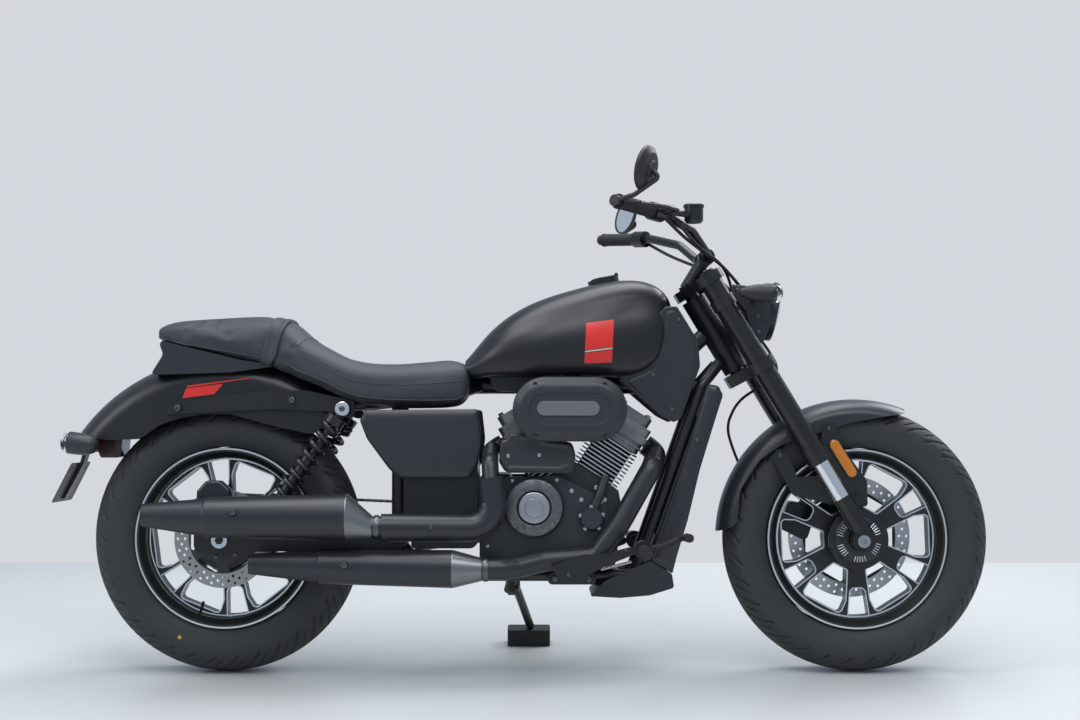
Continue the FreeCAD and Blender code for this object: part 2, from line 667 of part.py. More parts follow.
def fuel_lid():
    """Lid of the filler, hinged at its front edge."""
    rows = [(14.3, 0), (14.3, LID_R - 3), (18, LID_R), (23, LID_R), (25, LID_R - 3), (25, 0)]
    lid = turned(rows, pt(CAP_X, 0, CAP_Z), pt(0, 0, 1))
    arm = Part.makeBox(LID_HINGE_X - CAP_X - 20, 10, 3, pt(CAP_X + 20, -5, CAP_Z + 22.5))
    eye = rod(pt(LID_HINGE_X, -5, LID_HINGE_Z), pt(LID_HINGE_X, 5, LID_HINGE_Z), 4)
    pin = rod(pt(LID_HINGE_X, -12, LID_HINGE_Z), pt(LID_HINGE_X, 12, LID_HINGE_Z), 2)
    return on_cap(fused(lid, arm, eye, pin))


# ---------------------------------------------------------------- engine
def tilted(tilt, along, across, y=0.0):
    """Point from the crankshaft: along a cylinder's axis, across it toward the front, and to the left."""
    a = math.radians(tilt)
    return pt(CRANK_X + along * math.sin(a) + across * math.cos(a), y,
              CRANK_Z + along * math.cos(a) - across * math.sin(a))


def slab(tilt, low, high, half_across, half_y, corner):
    rows = [(-half_across, -half_y), (half_across, -half_y), (half_across, half_y), (-half_across, half_y)]
    wire = corner_wire([(tilted(tilt, low, a, y), corner) for a, y in rows])
    return Part.Face(wire).extrude(tilted(tilt, high, 0) - tilted(tilt, low, 0))


FIN_COUNT = 10
FIN_T = 3.2
FIN_HALF = 65.0             # half width of the head's fins, square to the crankshaft
HEAD_FROM = 190.0
HEAD_TO = 256.0
COVER_TO = 280.0


def cylinder_barrel(tilt):
    """Finned barrel, from its deck to its head."""
    barrel = [slab(tilt, DECK + SEAT, HEAD_FROM, 48, 52, 30)]
    pitch = (HEAD_FROM - DECK - 9) / (FIN_COUNT - 1)
    for i in range(FIN_COUNT):
        low = DECK + 3 + i * pitch
        barrel.append(slab(tilt, low, low + FIN_T, 62, 68, 16))
    return fused(*barrel)


def cylinder_head(tilt):
    """Cylinder head with two fins and its cover."""
    parts = [slab(tilt, HEAD_FROM + SEAT, HEAD_TO, 58, 64, 14),
             slab(tilt, HEAD_TO - 4, COVER_TO, 46, 54, 18),
             slab(tilt, HEAD_FROM + 12, HEAD_FROM + 16, FIN_HALF, 72, 16),
             slab(tilt, HEAD_FROM + 26, HEAD_FROM + 44, FIN_HALF, 72, 16)]
    return fused(*parts)


FRONT_SPROCKET = pt(-112, 0, 352)
FRONT_SPROCKET_R = 36.0


def deck_apex():
    """Where the two cylinder decks' planes meet, in the side view."""
    f, r = math.radians(FRONT_TILT), math.radians(REAR_TILT)
    x = DECK * (math.cos(r) - math.cos(f)) / math.sin(f + r)
    z = DECK * (math.sin(f) + math.sin(r)) / math.sin(f + r)
    return pt(CRANK_X + x, 0, CRANK_Z + z)


def crankcase():
    """Closed block of the crankcase and gearbox, with a flat deck under each cylinder."""
    low = RAIL_Z + CRADLE_TUBE_R + SEAT
    rows = [(pt(-148, 0, 478), 14), (pt(-78, 0, 478), 10), (pt(-62, 0, 450), 6),
            (tilted(-REAR_TILT, DECK, -66), 0),
            (deck_apex(), 0), (tilted(FRONT_TILT, DECK, 66), 6), (pt(190, 0, 400), 20),
            (pt(176, 0, low), 30),
            (pt(-148, 0, low), 30)]
    shifted = [(p - ACROSS * CASE_HALF, r) for p, r in rows]
    case = Part.Face(corner_wire(shifted)).extrude(pt(0, 2 * CASE_HALF, 0))
    pocket_y = CHAIN_Y - CHAIN_W / 2 - 2
    case = case.cut(Part.makeBox(102, 40, 300, pt(-160, pocket_y, 220)))
    hub = rod(FRONT_SPROCKET + ACROSS * (pocket_y - 1), FRONT_SPROCKET + ACROSS * (CHAIN_Y + CHAIN_W / 2),
              FRONT_SPROCKET_R)
    return fused(case, hub)


COVER_Y = CASE_HALF + 22.0
CLUTCH = pt(-18, 0, 400)
CLUTCH_R = 72.0


def right_cover():
    rows = [(-138, 462, 20), (-84, 472, 20), (40, 474, 30), (150, 420, 30), (166, 330, 40), (110, 268, 30),
            (-60, 262, 40),
            (-138, 300, 30)]
    return side_plate(rows, -CASE_HALF - SEAT, -COVER_Y)


def left_cover():
    body = mirrored(right_cover())
    body = body.cut(Part.makeBox(102, CHAIN_W / 2 + 5 + CHAIN_Y - 90, 300, pt(-160, 90, 220)))
    dome = turned([(0, 0), (0, 74), (18, 70), (26, 58), (26, 0)], pt(CRANK_X, COVER_Y - 1, CRANK_Z - 10),
                  ACROSS)
    return fused(body, dome)


def clutch_cover():
    """Round cover with a stepped rim, a recess and a raised boss."""
    rows = [(SEAT, 0), (SEAT, CLUTCH_R), (16, CLUTCH_R), (24, CLUTCH_R - 6), (30, CLUTCH_R - 20), (30, 40),
            (26, 38),
            (26, 34), (31, 32), (31, 0)]
    return turned(rows, pt(CLUTCH.x, -COVER_Y, CLUTCH.z), pt(0, -1, 0))


def pump_housing():
    """Water pump on the right cover's front, with its pipe up to the front cylinder."""
    centre = pt(118, -COVER_Y, 374)
    body = turned([(SEAT, 0), (SEAT, 30), (18, 30), (26, 24), (26, 0)], centre, pt(0, -1, 0))
    pipe = bent_tube([pt(118, -COVER_Y - 12, 384), pt(138, -COVER_Y - 14, 432), pt(152, -122, 474)], 11, 30)
    return fused(body, pipe)


CLEANER_Z = 632.0
CLEANER_R = 75.0
CLEANER_X = (8.0, 124.0)
CLEANER_Y = (-120.0, -188.0)


def stadium(x_from, x_to, z, radius, y):
    arcs = [Part.Arc(pt(x_to, y, z - radius), pt(x_to + radius, y, z), pt(x_to, y, z + radius)).toShape(),
            Part.LineSegment(pt(x_to, y, z + radius), pt(x_from, y, z + radius)).toShape(),
            Part.Arc(pt(x_from, y, z + radius), pt(x_from - radius, y, z),
                     pt(x_from, y, z - radius)).toShape(),
            Part.LineSegment(pt(x_from, y, z - radius), pt(x_to, y, z - radius)).toShape()]
    return Part.Wire(arcs)


def air_cleaner():
    """Obround housing, stepped in twice toward its face, on an intake trunk between the cylinders."""
    a, b = CLEANER_X
    y0, y1 = CLEANER_Y
    parts = []
    for y_from, y_to, r in ((y0, y1 + 26, CLEANER_R - 4), (y1 + 26, y1 + 8, CLEANER_R),
                            (y1 + 8, y1, CLEANER_R - 16)):
        parts.append(Part.Face(stadium(a, b, CLEANER_Z, r, y_from)).extrude(pt(0, y_to - y_from, 0)))
    body = fused(*parts)
    trunk = rod(pt(78, y0 - 1, 628), pt(78, -30, 628), 26)
    plenum = Part.makeBox(44, 60, 96, pt(56, -30, 560))
    reach = FIN_HALF + SEAT
    stubs = [rod(tilted(FRONT_TILT, 225, -reach), tilted(FRONT_TILT, 225, -reach - 64), 9),
             rod(tilted(-REAR_TILT, 225, reach), tilted(-REAR_TILT, 225, reach + 64), 9)]
    return fused(body, trunk, plenum, *stubs)


def cleaner_plate():
    y = CLEANER_Y[1] - SEAT
    return Part.Face(stadium(6, 118, 634, 17, y)).extrude(pt(0, -3, 0))


def side_cover_low():
    """Shaped cover between the air cleaner and the clutch."""
    rows = [(-96, 553, 14), (8, 553, 20), (70, 549, 16), (80, 520, 20), (72, 482, 14), (-86, 482, 20),
            (-100, 512, 16)]
    plate = side_plate(rows, -100, -146)
    back = side_plate([(-52, 536, 4), (40, 536, 4), (40, 500, 4), (-52, 500, 4)], -68.2, -101)
    return fused(plate, back)


# ---------------------------------------------------------------- exhaust
PIPE_R = 23.0
MUFFLER_Y = 207.0


def port(tilt, side):
    """Middle of an exhaust port's face, and its outward direction, on one side of a cylinder."""
    middle = tilted(tilt, 0.5 * (HEAD_FROM + HEAD_TO), side * (FIN_HALF + SEAT))
    return middle, (tilted(tilt, 0, side) - tilted(tilt, 0, 0)).normalize()


def front_header():
    """Pipe from the front cylinder's port, down ahead of the engine and back along its right side."""
    start, way = port(FRONT_TILT, 1)
    points = [start, start + way * 32, pt(262, -118, 496), pt(178, -146, 352), pt(128, -149, 286),
              pt(0, -153, 275),
              pt(-60, -178, 262), pt(-96, -LOWER_Y, 260), pt(-139.8, -LOWER_Y, 260)]
    return bent_tube(points, PIPE_R + 2, 30)


SHIELD_TOP = pt(-119, -166, 472)
SHIELD_TURN = pt(-109, -169, 353)
SHIELD_END = pt(-372, -MUFFLER_Y, 357.5)
SHIELD_R = 32.0


def rear_header():
    """Pipe from the rear cylinder's port, with a broad heat shield round its elbow beside the gearbox."""
    start, way = port(-REAR_TILT, -1)
    pipe = bent_tube([start, start + way * 34, pt(-122, -150, 508), SHIELD_TOP - pt(0, 0, 8)], PIPE_R - 3,
                     26)
    shield = bent_tube([SHIELD_TOP, SHIELD_TURN, SHIELD_END], SHIELD_R, 58)
    tail = rod(pt(SHIELD_END.x + 12, -MUFFLER_Y, 358.5), pt(-392.8, -MUFFLER_Y, 358.5), PIPE_R + 2)
    return fused(shield, pipe, tail)


def muffler(stations, y):
    """Can swept through (x, height, radius) stations, each pair joined by a straight cone."""
    parts = []
    for a, b in zip(stations, stations[1:]):
        wires = [circle_at(pt(x, y, z), r, pt(1, 0, 0)) for x, z, r in (a, b)]
        parts.append(loft(wires, True))
    body = fused(parts[0], *parts[1:])
    x, z, r = stations[0]
    return body.cut(rod(pt(x - 1, y, z), pt(x + 90, y, z), r - 4))


UPPER_CAN = [(-924, 386, 26.5), (-782, 381, 44), (-776, 381, 47), (-450, 381.5, 54), (-393, 358.5, 27)]
LOWER_CAN = [(-677, 273, 24), (-520, 267, 37), (-516, 267, 40), (-206, 261, 44), (-140, 260, 27)]
LOWER_Y = 195.0


def mufflers():
    return [muffler(UPPER_CAN, -MUFFLER_Y), muffler(LOWER_CAN, -LOWER_Y)]


def muffler_hanger():
    """Plate that hangs both mufflers, with a pad against each and a foot on the pivot pin's end."""
    rows = [(-372, 346, 12), (-318, 346, 10), (-318, 314, 10), (-420, 240, 10), (-462, 240, 10),
            (-462, 330, 20),
            (-560, 370, 8), (-560, 394, 8)]
    plate = side_plate(rows, -ARM_OUT - 8.3, -ARM_OUT - 14)
    pads = [rod(pt(-540, -ARM_OUT - 10, 382), pt(-540, -MUFFLER_Y, 382), 12),
            rod(pt(-440, -ARM_OUT - 10, 264), pt(-440, -LOWER_Y, 264), 12)]
    body = fused(plate, *pads)
    for can, y in ((UPPER_CAN, -MUFFLER_Y), (LOWER_CAN, -LOWER_Y)):
        (x0, z0, r0), (x1, z1, r1) = can[2], can[3]
        body = body.cut(cone(pt(x0, y, z0), pt(x1, y, z1), r0 + SEAT, r1 + SEAT))
    return body


# ---------------------------------------------------------------- side bodywork
def side_panel():
    """Bell-shaped cover with a post that fixes it to the frame's upright."""
    rows = [(-429, 606, 10), (-417, 630, 7), (-150, 632, 8), (-142, 562, 90), (-150, 500, 60),
            (-170, 469, 18),
            (-334, 468, 26), (-360, 492, 40), (-412, 562, 80)]
    plate = side_plate(rows, 132, 148)
    plate = plate.makeFillet(6, [e for e in plate.Edges if e.CenterOfMass.y > 147.9])
    post = rod(pt(PIVOT.x, CRADLE_HALF + CRADLE_TUBE_R + SEAT, 560), pt(PIVOT.x, 133, 560), 8)
    return fused(plate, post)


def battery_box():
    """Housing between the frame's uprights and the gearbox, behind the side panels."""
    back = PIVOT.x + CRADLE_TUBE_R + SEAT
    rows = [(back, 622, 8), (-160, 628, 12), (-156, 520, 10), (-152.5, 478, 8), (-152.5, 300, 20),
            (-312, 300, 10),
            (-312, 362, 6), (back, 362, 6)]
    return side_plate(rows, -78, 78)


def neck_cover():
    """Cover beside the downtube, tucked under the tank's front."""
    rows = [(296, 878, 4), (324, 879, 10), (349, 838, 20), (374, 796, 20), (379, 735, 30), (334, 612, 10),
            (316, 601, 10),
            (284, 617, 24), (184, 702, 8), (190, 760, 4)]
    inner = CRADLE_HALF + CRADLE_TUBE_R + SEAT
    plate = side_plate(rows, inner, inner + 10)
    plate = plate.makeFillet(4, [e for e in plate.Edges if e.CenterOfMass.y > inner + 9.9])
    plate = plate.cut(tank_body(0.3))
    plate = max(plate.Solids, key=lambda solid: solid.Volume)
    return both_sides(plate)


def spine_trim():
    """Dark trim under the tank that hides the backbone, on both sides."""
    low = TANK_Z - 2 * SPINE_R
    rows = [(-128, TANK_Z + 4, 0), (150, TANK_Z + 4, 0), (136, low + 4, 20), (20, low, 30),
            (-116, low + 6, 20)]
    return both_sides(side_plate(rows, SPINE_R + SEAT, SPINE_R + 34).cut(tank_body(0.3)))


def along_downtube(z, ahead):
    """Point in the side view at a height, ahead of the downtubes' middle line."""
    way = (DOWN_TOP - DOWN_LOW).normalize()
    here = DOWN_LOW + way * ((z - DOWN_LOW.z) / way.z)
    return here + pt(way.z, 0, -way.x) * ahead


def radiator():
    """Finned core between two tanks, ahead of the downtubes."""
    back = CRADLE_TUBE_R + SEAT
    corners = [(along_downtube(620, back), 3), (along_downtube(620, back + 30), 3),
               (along_downtube(340, back + 30), 3),
               (along_downtube(340, back), 3)]
    corners = [(p - ACROSS * 87, r) for p, r in corners]
    return Part.Face(corner_wire(corners)).extrude(pt(0, 174, 0))


def radiator_shroud():
    rows = [(397, 694, 8), (421, 686, 8), (433, 668, 10), (414, 607, 80), (377, 488, 80), (348, 369, 80),
            (322, 284, 60), (311, 241.5, 2), (260, 273.5, 2), (282, 345, 60), (332, 487, 80),
            (378, 631, 60)]
    plate = side_plate(rows, 87.3, 97)
    plate = plate.makeFillet(3, [e for e in plate.Edges if e.CenterOfMass.y > 96.9])
    return both_sides(plate)


def chin_fairing():
    """Open-topped pan under the engine's nose."""
    rows = [(115, 188, 2), (186, 184, 60), (257, 190, 60), (315, 208, 8), (310, 239.5, 2), (259, 271.5, 2),
            (152, 226, 50)]
    pan = side_plate(rows, -96, 96)
    hollow = side_plate([(100, 202, 6), (186, 196, 30), (257, 202, 20), (300, 216, 10), (300, 300, 0),
                         (100, 300, 0)], -90, 90)
    pan = pan.cut(hollow)
    for side in (-1, 1):
        pan = pan.fuse(rod(pt(196, side * CRADLE_HALF, 190),
                           pt(196, side * CRADLE_HALF, RAIL_Z - CRADLE_TUBE_R - SEAT), 8))
    return pan.removeSplitter()


# ---------------------------------------------------------------- chain


def chain():
    """Closed band round both sprockets, just clear of their teeth."""
    a, b = FRONT_SPROCKET, REAR_AXLE
    ra, rb = FRONT_SPROCKET_R + 0.5, SPROCKET_R + 0.5
    span = a.distanceToPoint(b)
    way = (b - a).normalize()
    side = pt(-way.z, 0, way.x)
    lean = math.asin((rb - ra) / span)
    up = [side * math.cos(lean) - way * math.sin(lean), side * -math.cos(lean) - way * math.sin(lean)]

    def outline(extra, y):
        p = pt(0, y, 0)
        q = [a + up[0] * (ra + extra) + p, b + up[0] * (rb + extra) + p, b + up[1] * (rb + extra) + p,
             a + up[1] * (ra + extra) + p]
        return Part.Wire([
            Part.LineSegment(q[0], q[1]).toShape(), Part.Arc(q[1], b + way * (rb + extra) + p,
                                                             q[2]).toShape(),
            Part.LineSegment(q[2], q[3]).toShape(), Part.Arc(q[3], a - way * (ra + extra) + p,
                                                             q[0]).toShape()])
    y0 = CHAIN_Y - CHAIN_W / 2
    outer = Part.Face(outline(9, y0)).extrude(pt(0, CHAIN_W, 0))
    return outer.cut(Part.Face(outline(0, y0 - 1)).extrude(pt(0, CHAIN_W + 2, 0)))


# ---------------------------------------------------------------- front end
TUBE_R = 26.5
STANCHION_R = 20.5
FOOT_R = 22.5
TUBE_LOW, TUBE_HIGH = 209.0, 735.0
FOOT_HIGH = 112.0
YOKES = ((465.0, 493.0), (708.0, 732.0))
LEG = YOKE_OFFSET


def fork_tubes():
    parts = []
    for side in (-1, 1):
        y = side * FORK_HALF
        tube = rod(on_fork(LEG, y, TUBE_LOW), on_fork(LEG, y, TUBE_HIGH), TUBE_R)
        collar = rod(on_fork(LEG, y, TUBE_LOW), on_fork(LEG, y, TUBE_LOW + 46), TUBE_R + 2.5)
        cap = rod(on_fork(LEG, y, TUBE_HIGH - 1), on_fork(LEG, y, TUBE_HIGH + 5), 20)
        bore = rod(on_fork(LEG, y, TUBE_LOW - 1), on_fork(LEG, y, TUBE_LOW + 140), STANCHION_R + SEAT)
        parts.append(fused(tube, collar, cap).cut(bore))
    return parts


def stanchions():
    return [rod(on_fork(LEG, s * FORK_HALF, FOOT_HIGH - 40), on_fork(LEG, s * FORK_HALF, TUBE_LOW + 130),
                STANCHION_R)
            for s in (-1, 1)]


CALIPER_Y = FORK_HALF - 13.0
CALIPER_IN = FRONT_HUB_HALF - 16.2      # inner face of the caliper
LUG_BITE = 10.4                         # reach of the fender's lug into the fork leg


def fork_feet():
    """Lower ends of the fork, which clamp the axle; the left one carries the caliper."""
    parts = []
    for side in (-1, 1):
        y = side * FORK_HALF
        leg = rod(on_fork(LEG, y, -12), on_fork(LEG, y, FOOT_HIGH), FOOT_R)
        boss = rod(FRONT_AXLE + ACROSS * (y - 23), FRONT_AXLE + ACROSS * (y + 23), 25)
        strap_y = FRONT_FENDER_HALF + SEAT + 3 + SEAT
        lug_rows = [(LEG + 4, 66, 6), (LEG + 4, 100, 6), (LEG + 44, 96, 8), (LEG + 44, 74, 8)]
        lug = Part.Face(corner_wire([(on_fork(a, side * strap_y, u), r) for a, u, r in lug_rows]))
        lug_reach = FORK_HALF - FOOT_R + LUG_BITE - strap_y
        pieces = [boss, lug.extrude(pt(0, side * lug_reach, 0))]
        if side > 0:
            rows = [(LEG - 10, 30), (LEG - 10, 104), (LEG - 66, 96), (LEG - 60, 40)]
            plate = corner_wire([(on_fork(a, CALIPER_Y, u), 6) for a, u in rows])
            pieces.append(Part.Face(plate).extrude(pt(0, 8, 0)))
        leg = fused(leg, *pieces)
        leg = leg.cut(rod(on_fork(LEG, y, FOOT_HIGH - 42), on_fork(LEG, y, FOOT_HIGH + 1),
                          STANCHION_R + SEAT))
        leg = leg.cut(rod(FRONT_AXLE + ACROSS * (y - 30), FRONT_AXLE + ACROSS * (y + 30), AXLE_R + SEAT))
        parts.append(leg)
    return parts


CALIPER_AT = 40.0          # degrees behind the fork leg's direction


def front_caliper():
    """Caliper over the front disc's edge, open where the disc runs through it."""
    a = math.radians(CALIPER_AT)
    rows = [(98, -46), (172, -38), (172, 34), (98, 46)]
    corners = []
    for r, t in rows:
        ahead = LEG - AXLE_SETBACK - r * math.sin(a) + t * math.cos(a)
        corners.append((on_fork(ahead, CALIPER_Y - SEAT, r * math.cos(a) + t * math.sin(a)), 12))
    block = Part.Face(corner_wire(corners)).extrude(pt(0, CALIPER_IN - (CALIPER_Y - SEAT), 0))
    slot = turned([(FRONT_HUB_HALF - 2, 20), (FRONT_HUB_HALF + DISC_T + 2, 20),
                   (FRONT_HUB_HALF + DISC_T + 2, FRONT_DISC_R + 3), (FRONT_HUB_HALF - 2, FRONT_DISC_R + 3)],
                  FRONT_AXLE, ACROSS)
    return block.cut(slot)


def yoke(low, high):
    """Clamp plate across both fork tubes, square to the fork."""
    rows = [(-36, -30, 16), (16, -128, 14), (62, -134, 10), (60, -40, 20), (60, 40, 20), (62, 134, 10),
            (16, 128, 14),
            (-36, 30, 16)]
    plate = Part.Face(corner_wire([(on_fork(a, y, low), r) for a, y,
                                   r in rows])).extrude(UP_FORK * (high - low))
    eyes = [rod(on_fork(LEG, s * FORK_HALF, low), on_fork(LEG, s * FORK_HALF, high),
                TUBE_R + 9) for s in (-1, 1)]
    body = fused(plate, *eyes)
    for s in (-1, 1):
        body = body.cut(rod(on_fork(LEG, s * FORK_HALF, low - 1), on_fork(LEG, s * FORK_HALF, high + 1),
                            TUBE_R + SEAT))
    return body


def fork_yokes():
    """Both clamps on the stem that turns in the head tube."""
    stem = rod(on_fork(0, 0, YOKES[0][0]), on_fork(0, 0, YOKES[1][1] + 8), STEM_R)
    return fused(stem, *[yoke(low, high) for low, high in YOKES])


FRONT_FENDER_HALF = 75.5
FRONT_FENDER_R = 337.0
FRONT_FENDER_EDGE = carried([(420, 336, 0), (466, 356, 20), (476, 439, 30), (523, 511, 40), (575, 548, 60),
                     (739, 600, 60),
                     (836, 617, 20), (880, 622, 0), (900, 760, 0), (400, 760, 0)], nose_pt)


def front_fender():
    outer = arch(FRONT_AXLE, FRONT_FENDER_HALF, FRONT_FENDER_R, 90, 40, 69, 177)
    inner = arch(FRONT_AXLE, FRONT_FENDER_HALF - SHEET, FRONT_FENDER_R - SHEET, 94, 40 - SHEET, 66, 179)
    return outer.cut(inner).common(side_plate(FRONT_FENDER_EDGE, -100, 100))


def fender_bracket():
    """Plate on the fender's side with two arms that meet at the fork's foot."""
    y = FRONT_FENDER_HALF + SEAT
    rows = carried([(672, 596, 8), (703, 600, 8), (722, 540, 20), (778, 462, 8), (780, 402, 8),
                    (742, 392, 8),
            (600, 428, 20),
            (551, 518, 6), (564, 538, 6), (590, 524, 6), (612, 470, 8), (664, 474, 8)], nose_pt)
    collar = rod(on_fork(LEG, FORK_HALF, TUBE_LOW - 1), on_fork(LEG, FORK_HALF, TUBE_LOW + 47),
                 TUBE_R + 2.5 + SEAT)
    return both_sides(side_plate(rows, y, y + 3).cut(collar))


BAR_R = 11.0
BAR_TOP = nose_pt(398, 0, 1000)
GRIP_IN = nose_pt(286, 256, 1078)
GRIP_OUT = nose_pt(168, 400, 1091)


def handlebar(radius=BAR_R):
    """Drag bar: straight across the risers, then up, out and back to the grips."""
    left = [nose_pt(398, 98, 1000), nose_pt(352, 168, 1052), GRIP_IN, GRIP_OUT]
    right = [pt(p.x, -p.y, p.z) for p in reversed(left)]
    return bent_tube(right + left, radius, 60)


def risers():
    """Two posts from the top clamp, each with a cap over the bar."""
    parts = []
    for side in (-1, 1):
        foot = on_fork(2, side * 52, YOKES[1][1] + SEAT)
        top = pt(BAR_TOP.x, side * 52, BAR_TOP.z)
        post = fused(rod(foot, top, 15), rod(top - ACROSS * 17, top + ACROSS * 17, 20))
        post = post.cut(rod(pt(BAR_TOP.x, side * 52 - 30, BAR_TOP.z),
                            pt(BAR_TOP.x, side * 52 + 30, BAR_TOP.z), BAR_R + SEAT))
        parts.append(post.cut(Part.Face(corner_wire([(on_fork(a, side * 52 + y, YOKES[1][1] + SEAT),
                                                      0) for a, y in (
            (-60, -40), (60, -40), (60, 40), (-60, 40))])).extrude(UP_FORK * -60)))
    return parts


def on_grip(out, ahead=0.0, up=0.0):
    """Point beside the left grip: out from the bar's last bend, ahead of the bar and above it."""
    way = (GRIP_OUT - GRIP_IN).normalize()
    front = pt(way.y, -way.x, 0).normalize()
    return GRIP_IN + way * out + front * ahead + pt(0, 0, up)


BAR_END = GRIP_IN.distanceToPoint(GRIP_OUT)
POD_FROM, POD_TO = 22.0, 60.0


def grips():
    return both_sides(sleeve(on_grip(POD_TO + 1), on_grip(BAR_END - 1), 16.5, BAR_R + SEAT))


def bar_controls():
    """Switch housing with its lever perch on each side, and the brake's round reservoir on the right."""
    pod = rod(on_grip(POD_FROM), on_grip(POD_TO), 21)
    perch = rod(on_grip(POD_FROM + 12), on_grip(POD_FROM + 12, 44, 4), 9)
    body = fused(pod, perch).cut(rod(on_grip(POD_FROM - 20), on_grip(POD_TO + 20), BAR_R + SEAT))
    right = mirrored(body)
    foot = nose_pt(352, -231, 1062)
    pot = turned([(0, 0), (0, 17), (6, 22), (36, 22), (36, 24), (42, 24), (44, 21), (44, 0)], foot,
                 pt(0, 0, 1))
    arm = rod(mirror_pt(on_grip(POD_FROM + 4, 18, 2)), foot + pt(-6, -7, 18), 7)
    return [body, fused(right, pot, arm).cut(handlebar(BAR_R + SEAT))]


def levers():
    """Brake and clutch levers ahead of the grips."""
    tip = on_grip(BAR_END - 24, 42, -4)
    path = bent_tube([on_grip(POD_FROM + 4, 50, 4), on_grip(POD_TO + 6, 56, 2), tip], 5.3, 60)
    ball = Part.makeSphere(8, tip)
    return both_sides(fused(path, ball))


def mirror_pt(p):
    return pt(p.x, -p.y, p.z)


MIRROR = nose_pt(229, 434, 1160)
MIRROR_R = 50.0
MIRROR_WAY = pt(-0.86, -0.45, 0.24).normalize()


def mirror_housings():
    """Round mirror shell on a stem from the bar's end."""
    d = MIRROR_WAY
    shell = turned([(-19, 0), (-19, 16), (-14, 19), (-12, 36), (-3, MIRROR_R - 1), (4, MIRROR_R),
                    (4, MIRROR_R - 3),
                    (0, MIRROR_R - 3), (0, 0)], MIRROR, d)
    clamp = rod(GRIP_OUT + (GRIP_OUT - GRIP_IN).normalize() * SEAT,
                GRIP_OUT + (GRIP_OUT - GRIP_IN).normalize() * 14, 13)
    way = (GRIP_OUT - GRIP_IN).normalize()
    stem = bent_tube([GRIP_OUT + way * 8, nose_pt(203, 433, 1101), nose_pt(258, 448, 1138),
                      MIRROR - d * 12], 5.5, 9)
    return both_sides(fused(shell, clamp, stem))


def cord(points, radius):
    """Round cord along straight runs and tangent arcs, each arc as wide as its shorter run allows."""
    edges = []
    start = points[0]
    for last, here, following in zip(points, points[1:], points[2:]):
        to_last = (last - here).normalize()
        to_next = (following - here).normalize()
        half = to_last.getAngle(to_next) / 2
        back = 0.45 * min(last.distanceToPoint(here), following.distanceToPoint(here))
        bend = back * math.tan(half)
        middle = (to_last + to_next).normalize()
        centre = here + middle * (bend / math.sin(half))
        stop = here + to_next * back
        edges.append(Part.LineSegment(start, here + to_last * back).toShape())
        edges.append(Part.Arc(here + to_last * back, centre - middle * bend, stop).toShape())
        start = stop
    edges.append(Part.LineSegment(start, points[-1]).toShape())
    path = Part.Wire(edges)
    ring = Part.Wire(Part.makeCircle(radius, points[0], points[1] - points[0]))
    print("CORD", round(path.Length, 1))
    return path.makePipeShell([ring], True, False)


def hose_at_disc(radius, y):
    """Point over the front disc's caliper, at a distance from the axle."""
    a = math.radians(CALIPER_AT)
    return on_fork(LEG - AXLE_SETBACK - radius * math.sin(a), y, radius * math.cos(a))


def control_cables():
    """Two looms from the switch pods into the lamp, and the brake hose down to the caliper."""
    pod = on_grip(POD_FROM + 6, 14, -11)
    loom = [pod, nose_pt(330, 190, 1026), nose_pt(424, 84, 976), nose_pt(468, 60, 930),
            nose_pt(492, 26, 900), nose_pt(530, 20, 884)]
    hose = [mirror_pt(on_grip(POD_FROM + 12, 30, 4)), nose_pt(360, -176, 1018), nose_pt(446, -66, 974),
            nose_pt(474, -30, 868),
            on_fork(94, 0, 500), on_fork(90, 16, 432), on_fork(-30, 62, 428), on_fork(-84, 98, 386),
            on_fork(-100, 103, 322),
            hose_at_disc(236, 84), hose_at_disc(172 + SEAT, 84)]
    other = [mirror_pt(pod)] + [mirror_pt(p) + pt(9, 0, 2) for p in loom[1:]]
    cords = [cord(loom, 4), cord(other, 4), cord(hose, 3.5)]
    shell = turned([(-52 - SEAT, 0), (-52 - SEAT, 30), (-40, 52 + SEAT), (-18, LAMP_R - 4.6),
                    (0, LAMP_R - 4.6), (0, 0)],
                   LAMP, LAMP_WAY.normalize())
    ends = [shell] + bar_controls()
    for flip in (lambda p: p, mirror_pt):
        ends.append(rod(flip(on_grip(POD_FROM - SEAT)), flip(on_grip(POD_TO + SEAT)), 21 + SEAT))
        ends.append(rod(flip(on_grip(POD_FROM + 12)), flip(on_grip(POD_FROM + 12, 44 + SEAT, 4)), 9 + SEAT))
    trimmed = []
    for c in cords:
        pieces = c.cut(ends).Solids
        trimmed.append(max(pieces, key=lambda solid: solid.Volume))
    return trimmed


LAMP = nose_pt(552, 0, 874)
LAMP_R = 72.0
LAMP_WAY = pt(0.985, 0, -0.17)


def headlight():
    """Round lamp shell with a rim."""
    rows = [(-52, 0), (-52, 30), (-40, 52), (-18, LAMP_R - 5), (6, LAMP_R - 4), (6, LAMP_R), (18, LAMP_R),
            (18, LAMP_R - 6), (4, LAMP_R - 10), (4, 0)]
    return turned(rows, LAMP, LAMP_WAY.normalize())


def headlight_lens():
    rows = [(4 + SEAT, 0), (4 + SEAT, LAMP_R - 11), (14, LAMP_R - 8), (20, LAMP_R - 14), (27, 34), (30, 0)]
    return turned(rows, LAMP, pt(0.985, 0, -0.17).normalize())


